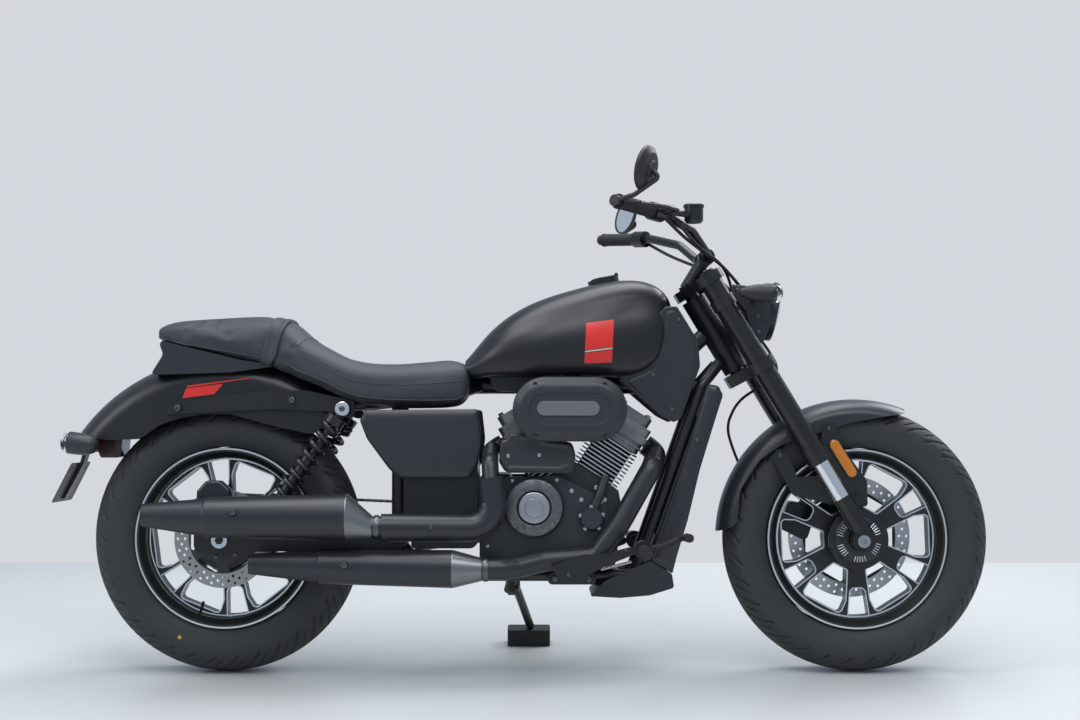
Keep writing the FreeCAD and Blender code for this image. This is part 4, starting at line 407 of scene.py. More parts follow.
class Book:
    """The nodes of one material, or of the world."""

    def __init__(self, name, kind="materials"):
        self.material = getattr(bpy.data, kind).new(name)
        self.material.use_nodes = True
        self.tree = self.material.node_tree
        self.tree.nodes.clear()
        self.coordinates = None

    def add(self, kind, settings=None, inputs=None, output=0):
        """A node of one type with its settings, then the values or links of its sockets."""
        node = self.tree.nodes.new(kind)
        for key, value in (settings or {}).items():
            setattr(node, key, value)
        for key, value in (inputs or {}).items():
            if isinstance(value, Term):
                self.tree.links.new(value.socket, node.inputs[key])
            else:
                if isinstance(value, tuple) and len(value) == 3 and node.inputs[key].type == "RGBA":
                    value = (*value, 1.0)
                node.inputs[key].default_value = value
        return Term(self, node.outputs[output]) if node.outputs else None

    def point(self):
        """Object coordinates in the row frame, in metres."""
        if self.coordinates is None:
            self.coordinates = self.add("ShaderNodeTexCoord", output=3)
        return self.coordinates

    def placed(self, centre, x_axis, z_axis):
        """Coordinates in millimetres about a point of the machine, along two of its directions."""
        x, z = unit(unit(x_axis) @ BASIS), unit(unit(z_axis) @ BASIS)
        turn = np.stack([x, np.cross(z, x), z])
        euler = Matrix(turn.tolist()).to_euler()
        shift = -(turn @ parked(centre)) * 1000.0
        vector = self.add("ShaderNodeMapping", {"vector_type": "POINT"},
                          {0: self.point(), 1: tuple(shift), 2: tuple(euler), 3: (1000.0,) * 3})
        return [self.part(vector, i) for i in range(3)]

    def part(self, vector, index):
        """One part of a vector: 0 for x, 1 for y, 2 for z."""
        return self.add("ShaderNodeSeparateXYZ", None, {0: vector}, index)

    def upright(self):
        """The upright machine's own x, y and z in millimetres."""
        return self.placed(np.zeros(3), [1, 0, 0], [0, 0, 1])

    def noise(self, scale, detail=4.0, rough=0.55, vector=None):
        """Cloudy noise about 0.5, its scale in waves a metre."""
        return self.add("ShaderNodeTexNoise", None,
                        {0: vector or self.point(), "Scale": scale, "Detail": detail, "Roughness": rough})

    def cells(self, scale, feature="F1"):
        """Distance inside rounded cells, their scale in cells a metre."""
        return self.add("ShaderNodeTexVoronoi", {"feature": feature}, {0: self.point(), "Scale": scale})

    def mix(self, share, first, second):
        """Colour between two, by a share."""
        return self.add("ShaderNodeMix", {"data_type": "RGBA"}, {0: share, 6: first, 7: second}, 2)

    def finish(self, colour, rough, metal=0.0, bumps=(), **fixed):
        """Closes the material with one surface shader; bumps are (height, strength, distance in mm)."""
        normal = None
        for height, strength, distance in bumps:
            inputs = {"Strength": strength, "Distance": distance * MM, "Height": height}
            if normal is not None:
                inputs["Normal"] = normal
            normal = self.add("ShaderNodeBump", None, inputs)
        inputs = {"Base Color": colour, "Roughness": rough, "Metallic": metal}
        if normal is not None:
            inputs["Normal"] = normal
        inputs.update({key.replace("_", " "): value for key, value in fixed.items()})
        surface = self.add("ShaderNodeBsdfPrincipled", None, inputs)
        self.add("ShaderNodeOutputMaterial", None, {0: surface})
        return self.material


# ---------------------------------------------------------------- finishes
RED = (0.68, 0.028, 0.022)
FINISHES = {}


def satin_black(name, colour, rough, grain=900.0, depth=0.02):
    """Sprayed black: a fine orange-peel bump, slow roughness changes and a little dust."""
    book = Book(name)
    cloud, fine, smear = book.noise(7.0, 5.0), book.noise(grain, 2.0), book.noise(38.0, 6.0, 0.65)
    dust = (cloud.ramp(0.45, 0.8) * smear.ramp(0.4, 0.8)) * 0.16
    base = book.mix(dust, colour, tuple(c * 2.2 + 0.012 for c in colour))
    return book.finish(base, (smear - 0.5) * 0.12 + rough + dust * 0.2, bumps=[(fine, 0.35, depth)])


def marked_black(book, mark, colour, rough):
    """Matte black over fine orange peel, with a mark in a second, shinier colour."""
    cloud, fine = book.noise(5.0, 5.0), book.noise(1100.0, 2.0)
    black = book.mix(cloud.ramp(0.4, 0.75) * 0.5, (0.0085, 0.009, 0.0102), (0.012, 0.0123, 0.0136))
    return book.finish(book.mix(mark, black, colour), (cloud - 0.5) * 0.1 + rough - mark * 0.05,
                       bumps=[(fine, 0.25, 0.012)])


def tank_paint(name):
    """Matte black paint with a slanted red block on each side of the tank, crossed low down by a pale line that
    dark lines border."""
    book = Book(name)
    x, y, z = book.upright()
    ahead, skew = x - 101.0, (z - 742.0) * 0.05
    block = (z > ahead * 0.05 + 740.0) * (z < ahead * 0.13 + 836.0) * (ahead > skew) * (ahead < skew + 65.0)
    beside = abs(z - (ahead * 0.13 + 768.0))
    red = book.mix(beside < 1.5, book.mix(beside < 3.1, RED, (0.03, 0.03, 0.032)), (0.6, 0.57, 0.53))
    return marked_black(book, block * (abs(y) > 90.0), red, 0.33)


def fender_paint(name):
    """Matte black paint with a red slanted block and its thin tail on each side of the rear fender."""
    book = Book(name)
    x, y, z = book.upright()
    top, low = (x + 844.0) * 0.128 + 689.0, (x + 856.0) * 0.13 + 659.0
    slant = (z - 659.0) * 0.42 - 858.0
    block = (z < top - 6.5) * (z > low) * (x > slant) * (x < (z - 669.0) * 0.9 - 782.0)
    tail = (z < top) * (z > top - 4.6 + (x + 846.0) * 0.02) * (x > slant) * (x < -696.0)
    return marked_black(book, block.most(tail) * (abs(y) > 40.0), RED, 0.34)


def cloudy(name, low, high, rough, swing, cloud, grain=None):
    """Two close tones in slow clouds, which also move the roughness, over a fine bump of (scale, detail, strength,
    distance)."""
    book = Book(name)
    drift = book.noise(*cloud)
    bumps = [(book.noise(*grain[:2]), *grain[2:])] if grain else ()
    return book.finish(book.mix(drift, low, high), drift * swing + rough, bumps=bumps)


def leather(name):
    """Dark grained vinyl: two sizes of rounded cells and slow creases."""
    book = Book(name)
    grain, coarse = (book.cells(scale, "DISTANCE_TO_EDGE") for scale in (900.0, 330.0))
    cloud, crease = book.noise(9.0, 5.0), book.noise(60.0, 6.0, 0.7)
    tone = book.mix(cloud.ramp(0.35, 0.75), (0.033, 0.0365, 0.043), (0.045, 0.049, 0.057))
    tone = book.mix(grain.ramp(0.0, 0.12) * 0.5 + 0.5, (0.017, 0.0185, 0.022), tone)
    return book.finish(tone, (cloud - 0.5) * 0.14 + 0.56 - grain.ramp(0.0, 0.2) * 0.05,
                       bumps=[(grain.ramp(0.0, 0.25), 0.5, 0.12), (coarse.ramp(0.0, 0.2), 0.25, 0.12),
                              (crease, 0.12, 0.5)])


def tyre_rubber(name):
    """Moulded rubber: dull dust near the tread, fine turned rings on the sidewall, small pits and a factory dot."""
    book = Book(name)
    x, y, z = book.upright()
    reach = x - 760.0 * ((x > 0.0) * 2.0 - 1.0)
    radius = (reach * reach + (z - 321.0) * (z - 321.0)) ** 0.5
    tread = radius.ramp(288.0, 312.0)
    cloud, pits = book.noise(22.0, 6.0, 0.6), book.noise(700.0, 3.0)
    lines = (radius * 1.9).sin() * (1.0 - tread)
    base = book.mix((tread * 0.6 + 0.15) * cloud.ramp(0.35, 0.75), (0.024, 0.026, 0.0285), (0.050, 0.0515, 0.053))
    off_x, off_z = x + 865.0, z - 88.0
    dot = (off_x * off_x + off_z * off_z < 20.0) * (y < -40.0)
    return book.finish(book.mix(dot, base, (0.55, 0.34, 0.03)), (cloud - 0.5) * 0.2 + 0.6 + tread * 0.08,
                       bumps=[(pits, 0.3, 0.1), (lines, 0.2, 0.12)])


def bright_steel(name, colour, rough, scale=45.0):
    """Polished steel with faint fingerprints and hairlines."""
    book = Book(name)
    smear, hair = book.noise(scale, 6.0, 0.6), book.noise(900.0, 2.0)
    return book.finish(book.mix(smear * 0.3, colour, tuple(0.8 * c for c in colour)),
                       smear.ramp(0.3, 0.8) * 0.14 + rough, 1.0, bumps=[(hair, 0.06, 0.02)])


def turned_steel(name, centre, colour, rough, bright_from=0.0):
    """Ground steel with rings about an axle, painted black inside a radius: the bump and roughness follow the sine
    of the radius."""
    book = Book(name)
    x, _, z = book.placed(centre, [1, 0, 0], [0, 0, 1])
    radius = (x * x + z * z) ** 0.5
    wobble = book.noise(60.0, 4.0)
    rings = (radius * 9.0 + wobble * 6.0).sin()
    swept = radius.ramp(bright_from, bright_from + 1.5)
    tone = book.mix(wobble * 0.35, colour, tuple(0.7 * c for c in colour))
    return book.finish(book.mix(swept, (0.03, 0.03, 0.033), tone),
                       rings * 0.03 + rough + wobble * 0.08 + (1.0 - swept) * 0.2, swept,
                       bumps=[(rings, 0.12, 0.03)])


def speckled_steel(name):
    """Dark ring whose raised specks are worn bright."""
    book = Book(name)
    specks, cloud = book.cells(900.0), book.noise(90.0, 4.0)
    bare = specks.ramp(0.5, 0.3) * cloud.ramp(0.3, 0.55)
    return book.finish(book.mix(bare, (0.055, 0.058, 0.064), (0.3, 0.31, 0.33)), bare * -0.15 + 0.42, bare,
                       bumps=[(specks, 0.4, 0.2)])


def cylinder_finish(name):
    """Black painted fins whose outer edges are machined bare, found from the distance across each cylinder."""
    book = Book(name)
    bare = []
    for tilt in CYLINDER_TILTS:
        a = math.radians(tilt)
        x, y, z = book.placed(CRANK, [math.cos(a), 0, -math.sin(a)], [math.sin(a), 0, math.cos(a)])
        here = (z > 98.0) * (z < 250.0) * (abs(x) < 70.0)
        bare.append((abs(x) > 60.4).most(abs(y) > 66.6) * here)
    edge = bare[0].most(bare[1])
    cast, cloud = book.noise(500.0, 4.0), book.noise(30.0, 5.0)
    tone = book.mix(edge, book.mix(cloud, (0.022, 0.023, 0.025), (0.04, 0.041, 0.044)), (0.62, 0.63, 0.64))
    return book.finish(tone, edge * -0.2 + 0.5 + cloud * 0.08, edge, bumps=[(cast, 0.3, 0.08)])


def head_finish(name):
    """Sand-cast alloy, grey, in two cloudy tones over a grainy bump."""
    book = Book(name)
    cast, cloud = book.noise(650.0, 4.0), book.noise(26.0, 5.0)
    tone = book.mix(cloud.ramp(0.3, 0.8), (0.16, 0.165, 0.17), (0.3, 0.305, 0.315))
    return book.finish(tone, cast * 0.2 + 0.38, 0.85, bumps=[(cast, 0.4, 0.12)])


def exhaust_finish(name):
    """Matte heat-proof black; the cones at the cans' front ends are satin grey metal."""
    book = Book(name)
    x, _, z = book.upright()
    speck, cloud = book.noise(800.0, 3.0), book.noise(12.0, 5.0)
    cone = ((x > -452.0) * (x < -392.0) * (z > 320.0)).most((x > -208.0) * (x < -139.0) * (z < 312.0) * (z > 212.0))
    tone = book.mix(cloud, (0.013, 0.0145, 0.018), (0.021, 0.0235, 0.028))
    tone = book.mix(cone, tone, (0.2, 0.205, 0.215))
    return book.finish(tone, (cloud - 0.5) * 0.12 + 0.36 - cone * 0.04, cone * 0.8, bumps=[(speck, 0.25, 0.05)])


def moulded_plastic(name, colour, rough):
    """Black plastic with a pebbled grain."""
    book = Book(name)
    pebble, cloud = book.cells(1300.0, "SMOOTH_F1"), book.noise(16.0, 5.0)
    return book.finish(book.mix(cloud * 0.6, colour, tuple(1.7 * c for c in colour)), (cloud - 0.5) * 0.14 + rough,
                       bumps=[(pebble, 0.3, 0.08)])


def clear_lens(name):
    """Clear moulded lens with faint flutes."""
    book = Book(name)
    _, y, _ = book.upright()
    return book.finish((0.96, 0.97, 1.0), book.noise(60.0, 3.0) * 0.05 + 0.04,
                       bumps=[((y * 0.9).sin(), 0.15, 0.3)], Transmission_Weight=1.0, IOR=1.45)


def coloured_lens(name, colour):
    """Ribbed coloured lens: the bump is a checker of small prisms."""
    book = Book(name)
    x, _, z = book.upright()
    prisms = (x * 1.2 + z * 1.2).sin() * (x * 1.2 - z * 1.2).sin()
    tone = book.mix(prisms.ramp(-0.6, 0.6), tuple(0.45 * c for c in colour), colour)
    return book.finish(tone, book.noise(300.0, 2.0) * 0.08 + 0.12, bumps=[(prisms, 0.3, 0.4)], Coat_Weight=0.6)


def mirror_glass(name):
    """Silvered glass under a slight haze."""
    book = Book(name)
    return book.finish((0.86, 0.88, 0.9), book.noise(70.0, 4.0) * 0.03 + 0.01, 1.0)


def badge_metal(name):
    """Pale satin metal with brushing along the plate."""
    book = Book(name)
    stretched = book.add("ShaderNodeMapping", None, {0: book.point(), 3: (4.0, 60.0, 400.0)})
    brush = book.noise(3.0, 4.0, 0.6, stretched)
    return book.finish(book.mix(brush, (0.2, 0.205, 0.215), (0.33, 0.335, 0.345)), brush * 0.2 + 0.25, 1.0,
                       bumps=[(brush, 0.1, 0.03)])


def make_finishes():
    """Makes every finish from a row of its name, its maker and the maker's values."""
    for name, maker, *values in (
            ("frame_black", satin_black, (0.010, 0.0105, 0.0115), 0.34),
            ("fork_black", satin_black, (0.009, 0.0094, 0.0105), 0.28, 900.0, 0.01),
            ("cast_black", satin_black, (0.022, 0.0245, 0.0285), 0.4, 480.0, 0.09),
            ("panel_black", satin_black, (0.0195, 0.022, 0.0262), 0.36, 1100.0, 0.012),
            ("spring_steel", satin_black, (0.014, 0.014, 0.0155), 0.24),
            ("caliper_black", satin_black, (0.012, 0.0135, 0.019), 0.28),
            ("tank_paint", tank_paint), ("fender_paint", fender_paint), ("seat_leather", leather),
            ("seat_thread", cloudy, (0.05, 0.05, 0.052), (0.13, 0.13, 0.135), 0.6, 0.2, (1500.0, 2.0),
             (1500.0, 2.0, 0.4, 0.1)),
            ("black_rubber", cloudy, (0.0105, 0.0105, 0.0112), (0.019, 0.019, 0.0197), 0.62, 0.15, (40.0, 5.0),
             (900.0, 3.0, 0.3, 0.06)),
            ("wheel_paint", cloudy, (0.0085, 0.0088, 0.0098), (0.013, 0.0133, 0.0143), 0.28, 0.12, (14.0, 5.0),
             (420.0, 4.0, 0.18, 0.05)),
            ("plate_finish", cloudy, (0.02, 0.02, 0.021), (0.032, 0.032, 0.034), 0.38, 0.1, (30.0, 4.0),
             (700.0, 2.0, 0.15, 0.03)),
            ("plastic", moulded_plastic, (0.013, 0.0133, 0.0143), 0.5), ("tyre_rubber", tyre_rubber),
            ("bare_edge", bright_steel, (0.78, 0.79, 0.8), 0.18),
            ("bolt_steel", bright_steel, (0.42, 0.43, 0.45), 0.24),
            ("black_bolt", bright_steel, (0.13, 0.135, 0.145), 0.32),
            ("chrome", bright_steel, (0.78, 0.79, 0.81), 0.07),
            ("chain_steel", bright_steel, (0.32, 0.3, 0.27), 0.34, 200.0),
            ("front_disc_steel", turned_steel, FRONT_AXLE, (0.52, 0.53, 0.55), 0.27, 114.0),
            ("rear_disc_steel", turned_steel, REAR_AXLE, (0.4, 0.395, 0.385), 0.32, 82.0),
            ("sprocket_steel", turned_steel, REAR_AXLE, (0.3, 0.3, 0.31), 0.36),
            ("insert_metal", turned_steel, CLUTCH, (0.4, 0.41, 0.43), 0.3),
            ("cylinder_finish", cylinder_finish), ("head_finish", head_finish), ("exhaust_finish", exhaust_finish),
            ("badge_metal", badge_metal), ("speckled_steel", speckled_steel), ("clear_lens", clear_lens),
            ("smoked_lens", coloured_lens, (0.035, 0.005, 0.005)),
            ("amber_lens", coloured_lens, (0.8, 0.25, 0.004)), ("mirror_glass", mirror_glass)):
        FINISHES[name] = maker(name, *values)


# ---------------------------------------------------------------- sizes and colours a user would change
class CruiserTyres(bpy.types.PropertyGroup):
    """Sizes of the tyres' tread."""
    groove: FloatProperty(name="Groove depth", description="Depth of the tread's grooves", default=0.0042,
                          unit="LENGTH")
    lugs: IntProperty(name="Grooves", description="Slanted grooves on each side of a tyre", default=34)


class CruiserSeats(bpy.types.PropertyGroup):
    """Sizes of the two seats."""
    pressure: FloatProperty(name="Fill", description="Pressure that swells the padding", default=4.0)
    travel: FloatProperty(name="Swell", description="Furthest that the padding may swell", default=0.006,
                          unit="LENGTH")
    voxel: FloatProperty(name="Grain of the cloth", description="Size of the padding's cells", default=0.006,
                         unit="LENGTH")
    stitch: FloatProperty(name="Stitch", description="Length of one stitch", default=0.0062, unit="LENGTH")


class CruiserStage(bpy.types.PropertyGroup):
    """Floor, backdrop and light."""
    floor: FloatVectorProperty(name="Floor", description="Colour of the floor", default=(0.62, 0.62, 0.61),
                               size=3, subtype="COLOR")
    wall: FloatVectorProperty(name="Wall", description="Colour of the backdrop", default=(0.66, 0.68, 0.72),
                              size=3, subtype="COLOR")
    lamp: FloatProperty(name="Key light", description="Power of the key light", default=60.0, unit="POWER")
    sky: FloatProperty(name="Sky", description="Strength of the even light from all round", default=0.56)
    back: FloatProperty(name="Floor's far edge", description="Distance of the floor's far edge behind the machine",
                        default=1.44, unit="LENGTH")


# ---------------------------------------------------------------- wheels
def tyre_section(radius, width, rim_half):
    """Half section from the crown to the bead: (y, radius). The crown is a circle of 0.56 of the width; the sidewall
    is a quadratic curve bulging to half the width."""
    crown = 0.56 * width
    y = np.linspace(0, 0.44 * width, CROWN_ROWS)
    r = radius - crown + np.sqrt(crown ** 2 - y ** 2)
    low, top = np.array([rim_half + 0.5, 218.5]), np.array([y[-1], r[-1]])
    bulge = np.array([0.553 * width, 0.5 * (top[1] + low[1]) + 8])
    t = np.linspace(0, 1, 15)[1:, None]
    wall = (1 - t) ** 2 * top + 2 * t * (1 - t) * bulge + t ** 2 * low
    return np.concatenate([np.stack([y, r], 1), wall])


def tread_depth(turn, side, reach, lugs):
    """Groove depth share at a place: slanted grooves whose line is turn = k + 1.05*reach^1.3, alternating left and
    right, short sipes between them, and two thin rings near the middle."""
    shift = np.where(side > 0, 0.0, 0.5)
    span = 2 * math.pi * 320.0 / lugs  # millimetres round the tyre from one groove to the next

    def groove(line, half_width, fade, first, last):
        """1 on the line and 0 away from it, between two shares of the way out."""
        off = np.abs((turn * lugs / (2 * math.pi) + shift - line) % 1.0 - 0.5) * span
        return np.clip(fade - off / half_width, 0, 1) * np.clip((reach - first) / 0.03, 0, 1) * \
            np.clip((last - reach) / 0.03, 0, 1)

    wide = groove(1.05 * reach ** 1.3, 2.6 + 0.8 * reach, 1.6, 0.16, 1.1)
    short = groove(0.95 * reach ** 1.15 - 0.5, 2.0, 1.5, 0.5, 0.93)
    rings = np.clip(1.6 - np.abs(reach - 0.26) * 60, 0, 1)
    smooth = np.maximum(np.maximum(wide, short * 0.8), rings * 0.9)
    return smooth * smooth * (3 - 2 * smooth)


def tyre_surface(axle, radius, width, rim_half, lugs, depth, steps=1020):
    """Section turned about the axle, lowered along its own normal by the tread's depth and raised in two thin
    sidewall rings; reach is the distance from the crown's middle as a share of the shoulder's."""
    half = tyre_section(radius, width, rim_half)
    section = np.concatenate([half[::-1], half[1:] * [-1, 1]])
    way = unit(np.gradient(section, axis=0))
    normal = np.stack([-way[:, 1], way[:, 0]], 1)
    normal = normal * np.sign((normal * (section - [0, radius - 60])).sum(1, keepdims=True))
    arc = np.cumsum(np.concatenate([[0], np.linalg.norm(np.diff(section, axis=0), axis=1)]))
    middle, shoulder = arc[len(half) - 1], arc[len(half) + CROWN_ROWS - 2]
    reach = np.abs(arc - middle) / (shoulder - middle)
    turn = np.linspace(0, 2 * math.pi, steps, endpoint=False)
    cut = tread_depth(turn[:, None], section[None, :, 0], reach[None, :], lugs) * depth
    wall = 1.3 * np.exp(-((section[:, 1] - 238.0) / 2.2) ** 2) + np.exp(-((section[:, 1] - 262.0) / 1.6) ** 2)
    shape = section[None] + normal[None] * (wall[None, :, None] - cut[..., None])
    y, r = shape[..., 0], shape[..., 1]
    points = axle + np.stack([r * np.cos(turn)[:, None], y, r * np.sin(turn)[:, None]], -1)
    return points.reshape(-1, 3), grid_faces(steps, len(section), True, False)


class CRUISER_OT_tyres(bpy.types.Operator):
    """Both tyres with a moulded tread, and their valves"""
    bl_idname = "cruiser.tyres"
    bl_label = "Tyres"

    def execute(self, context):
        sizes = context.scene.cruiser_tyres
        for end, axle, radius, width, rim_half in (("front", FRONT_AXLE, 320.0, 130.0, 40.0),
                                                   ("rear", REAR_AXLE, 323.0, 150.0, 54.0)):
            surface = tyre_surface(axle, radius, width, rim_half, sizes.lugs, sizes.groove / MM)
            tyre = piece(end + "_tyre_tread", surface, "tyre_rubber", end + "_wheel", 60)
            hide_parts(end + "_tyre")
        for end, axle, y, degrees in (("front", FRONT_AXLE, -15, 118), ("rear", REAR_AXLE, -19, 250)):
            foot, way = round_spots(axle + Y * y, 196, degrees)
            stem = lathe([(0, 0), (0, 3.4), (-22, 3.0), (-22, 3.9), (-32, 3.9), (-32, 0)], foot[0],
                         way[0] + Y * 0.35, 20)
            piece(end + "_valve", stem, "black_rubber", end + "_wheel")
        return {"FINISHED"}


def wheel_loops(first):
    """Side-view outlines of a rim's openings about the axle, between spokes and inside each forked spoke; the first
    spoke stands at an angle."""
    def loop(rows, angle):
        """Outline from rows of (radius, degrees, corner radius)."""
        reach, turn, corner = np.array(rows, float).T
        a = np.radians(angle + turn)
        return rounded(np.stack([reach * np.cos(a), reach * np.sin(a), corner], 1), 8)

    window = [(80, -13, 5), (80, 13, 5), (152, 18.5, 14), (184, 16, 9), (184, -16, 9), (152, -18.5, 14)]
    slot = [(122, -8, 12), (122, 8, 12), (190, 7.5, 4), (190, -7.5, 4)]
    return [(loop(window, a + 30), loop(slot, a)) for a in first + 360 / SPOKES * np.arange(SPOKES)]


def edge_strip(outline, y, width, lift=0.4):
    """Thin bare-metal strip round an opening: the outline and its offset, joined over a small rise."""
    sign = math.copysign(1.0, y)
    loops = [side_loop(offset(outline, out), y + sign * up)
             for out, up in ((0.0, -1.6), (0.15, lift), (width - 0.3, lift), (width, -0.3))]
    return np.stack(loops, 0).reshape(-1, 3), grid_faces(4, len(outline), True, True)


class CRUISER_OT_wheels(bpy.types.Operator):
    """Rims with machined edges, hub covers with their ribs, and disc bolts"""
    bl_idname = "cruiser.wheels"
    bl_label = "Wheels"

    def execute(self, context):
        paint("wheel_paint", "front_rim", "rear_rim")
        paint("front_disc_steel", "front_disc")
        paint("rear_disc_steel", "rear_disc")
        paint("sprocket_steel", "rear_sprocket")
        rib = rod([(-7.5, 0), (-7, 0.9), (7, 0.9), (7.5, 0)], 6)
        for body, axle, first, rim_half, hub_half, side in (("front_wheel", FRONT_AXLE, 32.0, 40.0, 64.0, -1),
                                                            ("rear_wheel", REAR_AXLE, 37.7, 54.0, 78.0, 1)):
            parts = []
            for sign in (-1, 1):
                for window, slot in wheel_loops(first):
                    parts += [edge_strip(window + axle[[0, 2]], sign * 20.0, 3.2),
                              edge_strip(slot + axle[[0, 2]], sign * 20.0, 2.8)]
                lip = rim_half + 7.0
                for profile in ([(lip - 0.8, 211.4), (lip + 0.45, 212.0), (lip + 0.45, 216.0), (lip - 0.8, 216.8)],
                                [(20, 192.6), (20.4, 190.6), (20.4, 189.6), (20, 187.6)]):
                    parts.append(ring([(sign * s, r) for s, r in profile], axle, Y, 192))
            piece(body + "_bare_edges", merged(*parts), "bare_edge", body, 50)
            spots, _ = round_spots(axle, 46, first + 30 + np.arange(SPOKES) * 60)
            heads = [copies(button_head(5.5), spots + Y * s * (hub_half + (0.05 if s == side else 4.6)), Y * s)
                     for s in (-1, 1)]
            piece(body + "_disc_bolts", merged(*heads), "black_bolt", body)
            face = side * hub_half
            dome = ring([(face, 57), (face + side * 2, 58.6), (face + side * 5, 56), (face + side * 9, 42),
                         (face + side * 11, 30), (face + side * 11, 26), (face, 25)], axle, Y, 96)
            piece(body + "_hub_cover", dome, "caliper_black", body)
            spread = np.arange(6)[:, None] * 60 + np.arange(-2, 3)[None] * 7.5 + first
            spots, ways = round_spots(axle + Y * (face + side * 8.2), 46.5, spread)
            piece(body + "_hub_ribs", copies(rib, spots, ways - Y * side * 0.32), "bare_edge", body)
        return {"FINISHED"}


# ---------------------------------------------------------------- seats
def pad_section(turn, crown=3.2, base=7.0):
    """Superellipse (cos t^(2/p), sin t^(2/p)) of a pad's section, rounder above its widest line than below it."""
    c, s = np.cos(turn), np.sin(turn)
    power = 2 / np.where(s >= 0, crown, base)
    return np.sign(c) * np.abs(c) ** power, np.sign(s) * np.abs(s) ** power


def pad_point(rows, c, s, shrink=1.0):
    """Point of a pad's section: y = w*c, z = mid + h*s; the top sinks by dip along the middle, and the sections
    lean back where the two pads meet."""
    x, low, top, wide, dip = np.moveaxis(rows, -1, 0)
    y = wide * c * (0.55 + 0.45 * shrink)
    z = 0.5 * (low + top) + 0.5 * (top - low) * s * shrink
    z = z - dip * np.clip(s, 0, 1) * np.exp(-(y / (0.5 * wide)) ** 2)
    lean = 0.24 * (z - 790.0) * np.exp(-((x + 640.0) / 42.0) ** 2)
    return np.stack([x + lean, y, z], -1)


def pad_surface(stations, steps=72, count=90):
    """Closed cushion lofted through (x, bottom, top, half width, dip) rows, drawn in over its last few rows and
    closed at its ends' middle points."""
    rows = curve_through(stations, count)[:, None]
    end = np.linspace(-1, 1, count)[:, None]
    c, s = pad_section(np.linspace(0, 2 * math.pi, steps, endpoint=False)[None])
    points = pad_point(np.broadcast_to(rows, (count, steps, 5)), c, s, (1 - np.abs(end) ** 30) ** 0.5)
    ends = np.broadcast_to(points[[0, -1]].mean(1, keepdims=True), (2, steps, 3))
    points = np.concatenate([ends[:1], points, ends[1:]])
    return points.reshape(-1, 3), grid_faces(count + 2, steps, False, True)


def places_of(mesh):
    """The places of a mesh's vertices, one row each."""
    flat = np.zeros(len(mesh.vertices) * 3)
    mesh.vertices.foreach_get("co", flat)
    return flat.reshape(-1, 3)


def swell(obj, sizes, frames=20):
    """Remeshes a cushion, blows it up as cloth and keeps each point within the allowed travel."""
    scene = bpy.context.scene
    bpy.context.view_layer.objects.active = obj
    obj.data.remesh_voxel_size = sizes.voxel
    obj.select_set(True)
    bpy.ops.object.voxel_remesh()
    before = places_of(obj.data)
    cloth = obj.modifiers.new("padding", "CLOTH")
    cloth.settings.use_pressure = True
    cloth.settings.uniform_pressure_force = sizes.pressure
    cloth.settings.effector_weights.gravity = 0.0
    cloth.settings.tension_stiffness = cloth.settings.compression_stiffness = 25.0
    cloth.settings.bending_stiffness = 2.0
    cloth.point_cache.frame_start, cloth.point_cache.frame_end = 1, frames
    for number in range(1, frames + 1):
        scene.frame_set(number)
    step = places_of(obj.evaluated_get(bpy.context.evaluated_depsgraph_get()).to_mesh()) - before
    obj.modifiers.clear()
    scene.frame_set(1)
    length = np.linalg.norm(step, axis=1, keepdims=True)
    step = step * np.minimum(1.0, sizes.travel / np.maximum(length, 1e-9))
    obj.data.vertices.foreach_set("co", (before + step).ravel())
    obj.data.update()
    obj.select_set(False)


def smooth_pad(obj):
    """Relaxes the remeshed steps and adds one subdivision."""
    relax = obj.modifiers.new("relax", "SMOOTH")
    relax.factor, relax.iterations = 0.5, 6
    finer = obj.modifiers.new("finer", "SUBSURF")
    finer.levels = finer.render_levels = 1
    obj.data.shade_smooth()


# Rows (x, bottom, top, half width, dip of the top's middle) of the two cushions, from back to front.
RIDER_PAD = [(-640, 738, 849, 123, 0), (-622, 733, 847, 124, 0), (-598, 723, 836, 129, 1), (-576, 711, 816, 137, 2),
             (-552, 702, 796, 141, 4), (-516, 686, 776, 142, 6), (-476, 666, 757, 141, 8), (-440, 653, 747, 140, 9),
             (-400, 646, 741, 138, 9), (-342, 642, 740, 133, 8), (-275, 642, 745, 121, 6), (-222, 644, 751, 108, 3),
             (-192, 651, 749, 99, 1), (-172, 676, 738, 90, 0)]
PASSENGER_PAD = [(-927, 802, 826, 72, 0), (-912, 797, 832, 92, 0), (-886, 789, 838, 105, 1),
                 (-840, 776, 843, 114, 2), (-770, 761, 848, 119, 3), (-700, 748, 852, 122, 3),
                 (-664, 742, 852, 123, 2), (-639, 738, 850, 123, 0)]


def over_pad(stations, x, turn):
    """Point on a pad's outside at a place along it and an angle round its section, 0 at its left widest line."""
    rows = curve_through(stations, 240)
    x, turn = np.broadcast_arrays(np.asarray(x, float), np.asarray(turn, float))
    here = np.stack([x] + [np.interp(x, rows[:, 0], rows[:, i]) for i in (1, 2, 3, 4)], -1)
    return pad_point(here, *pad_section(turn))


def settle(points, obj, lift):
    """Moves machine points onto an object's nearest surface, raised by a lift in millimetres."""
    tree = BVHTree.FromObject(obj, bpy.context.evaluated_depsgraph_get())
    found = [tree.find_nearest(p)[:2] for p in parked(points).tolist()]
    moved = np.array([np.array(spot) + np.array(normal) * lift * MM for spot, normal in found])
    return (moved - ORIGIN) @ BASIS.T / MM


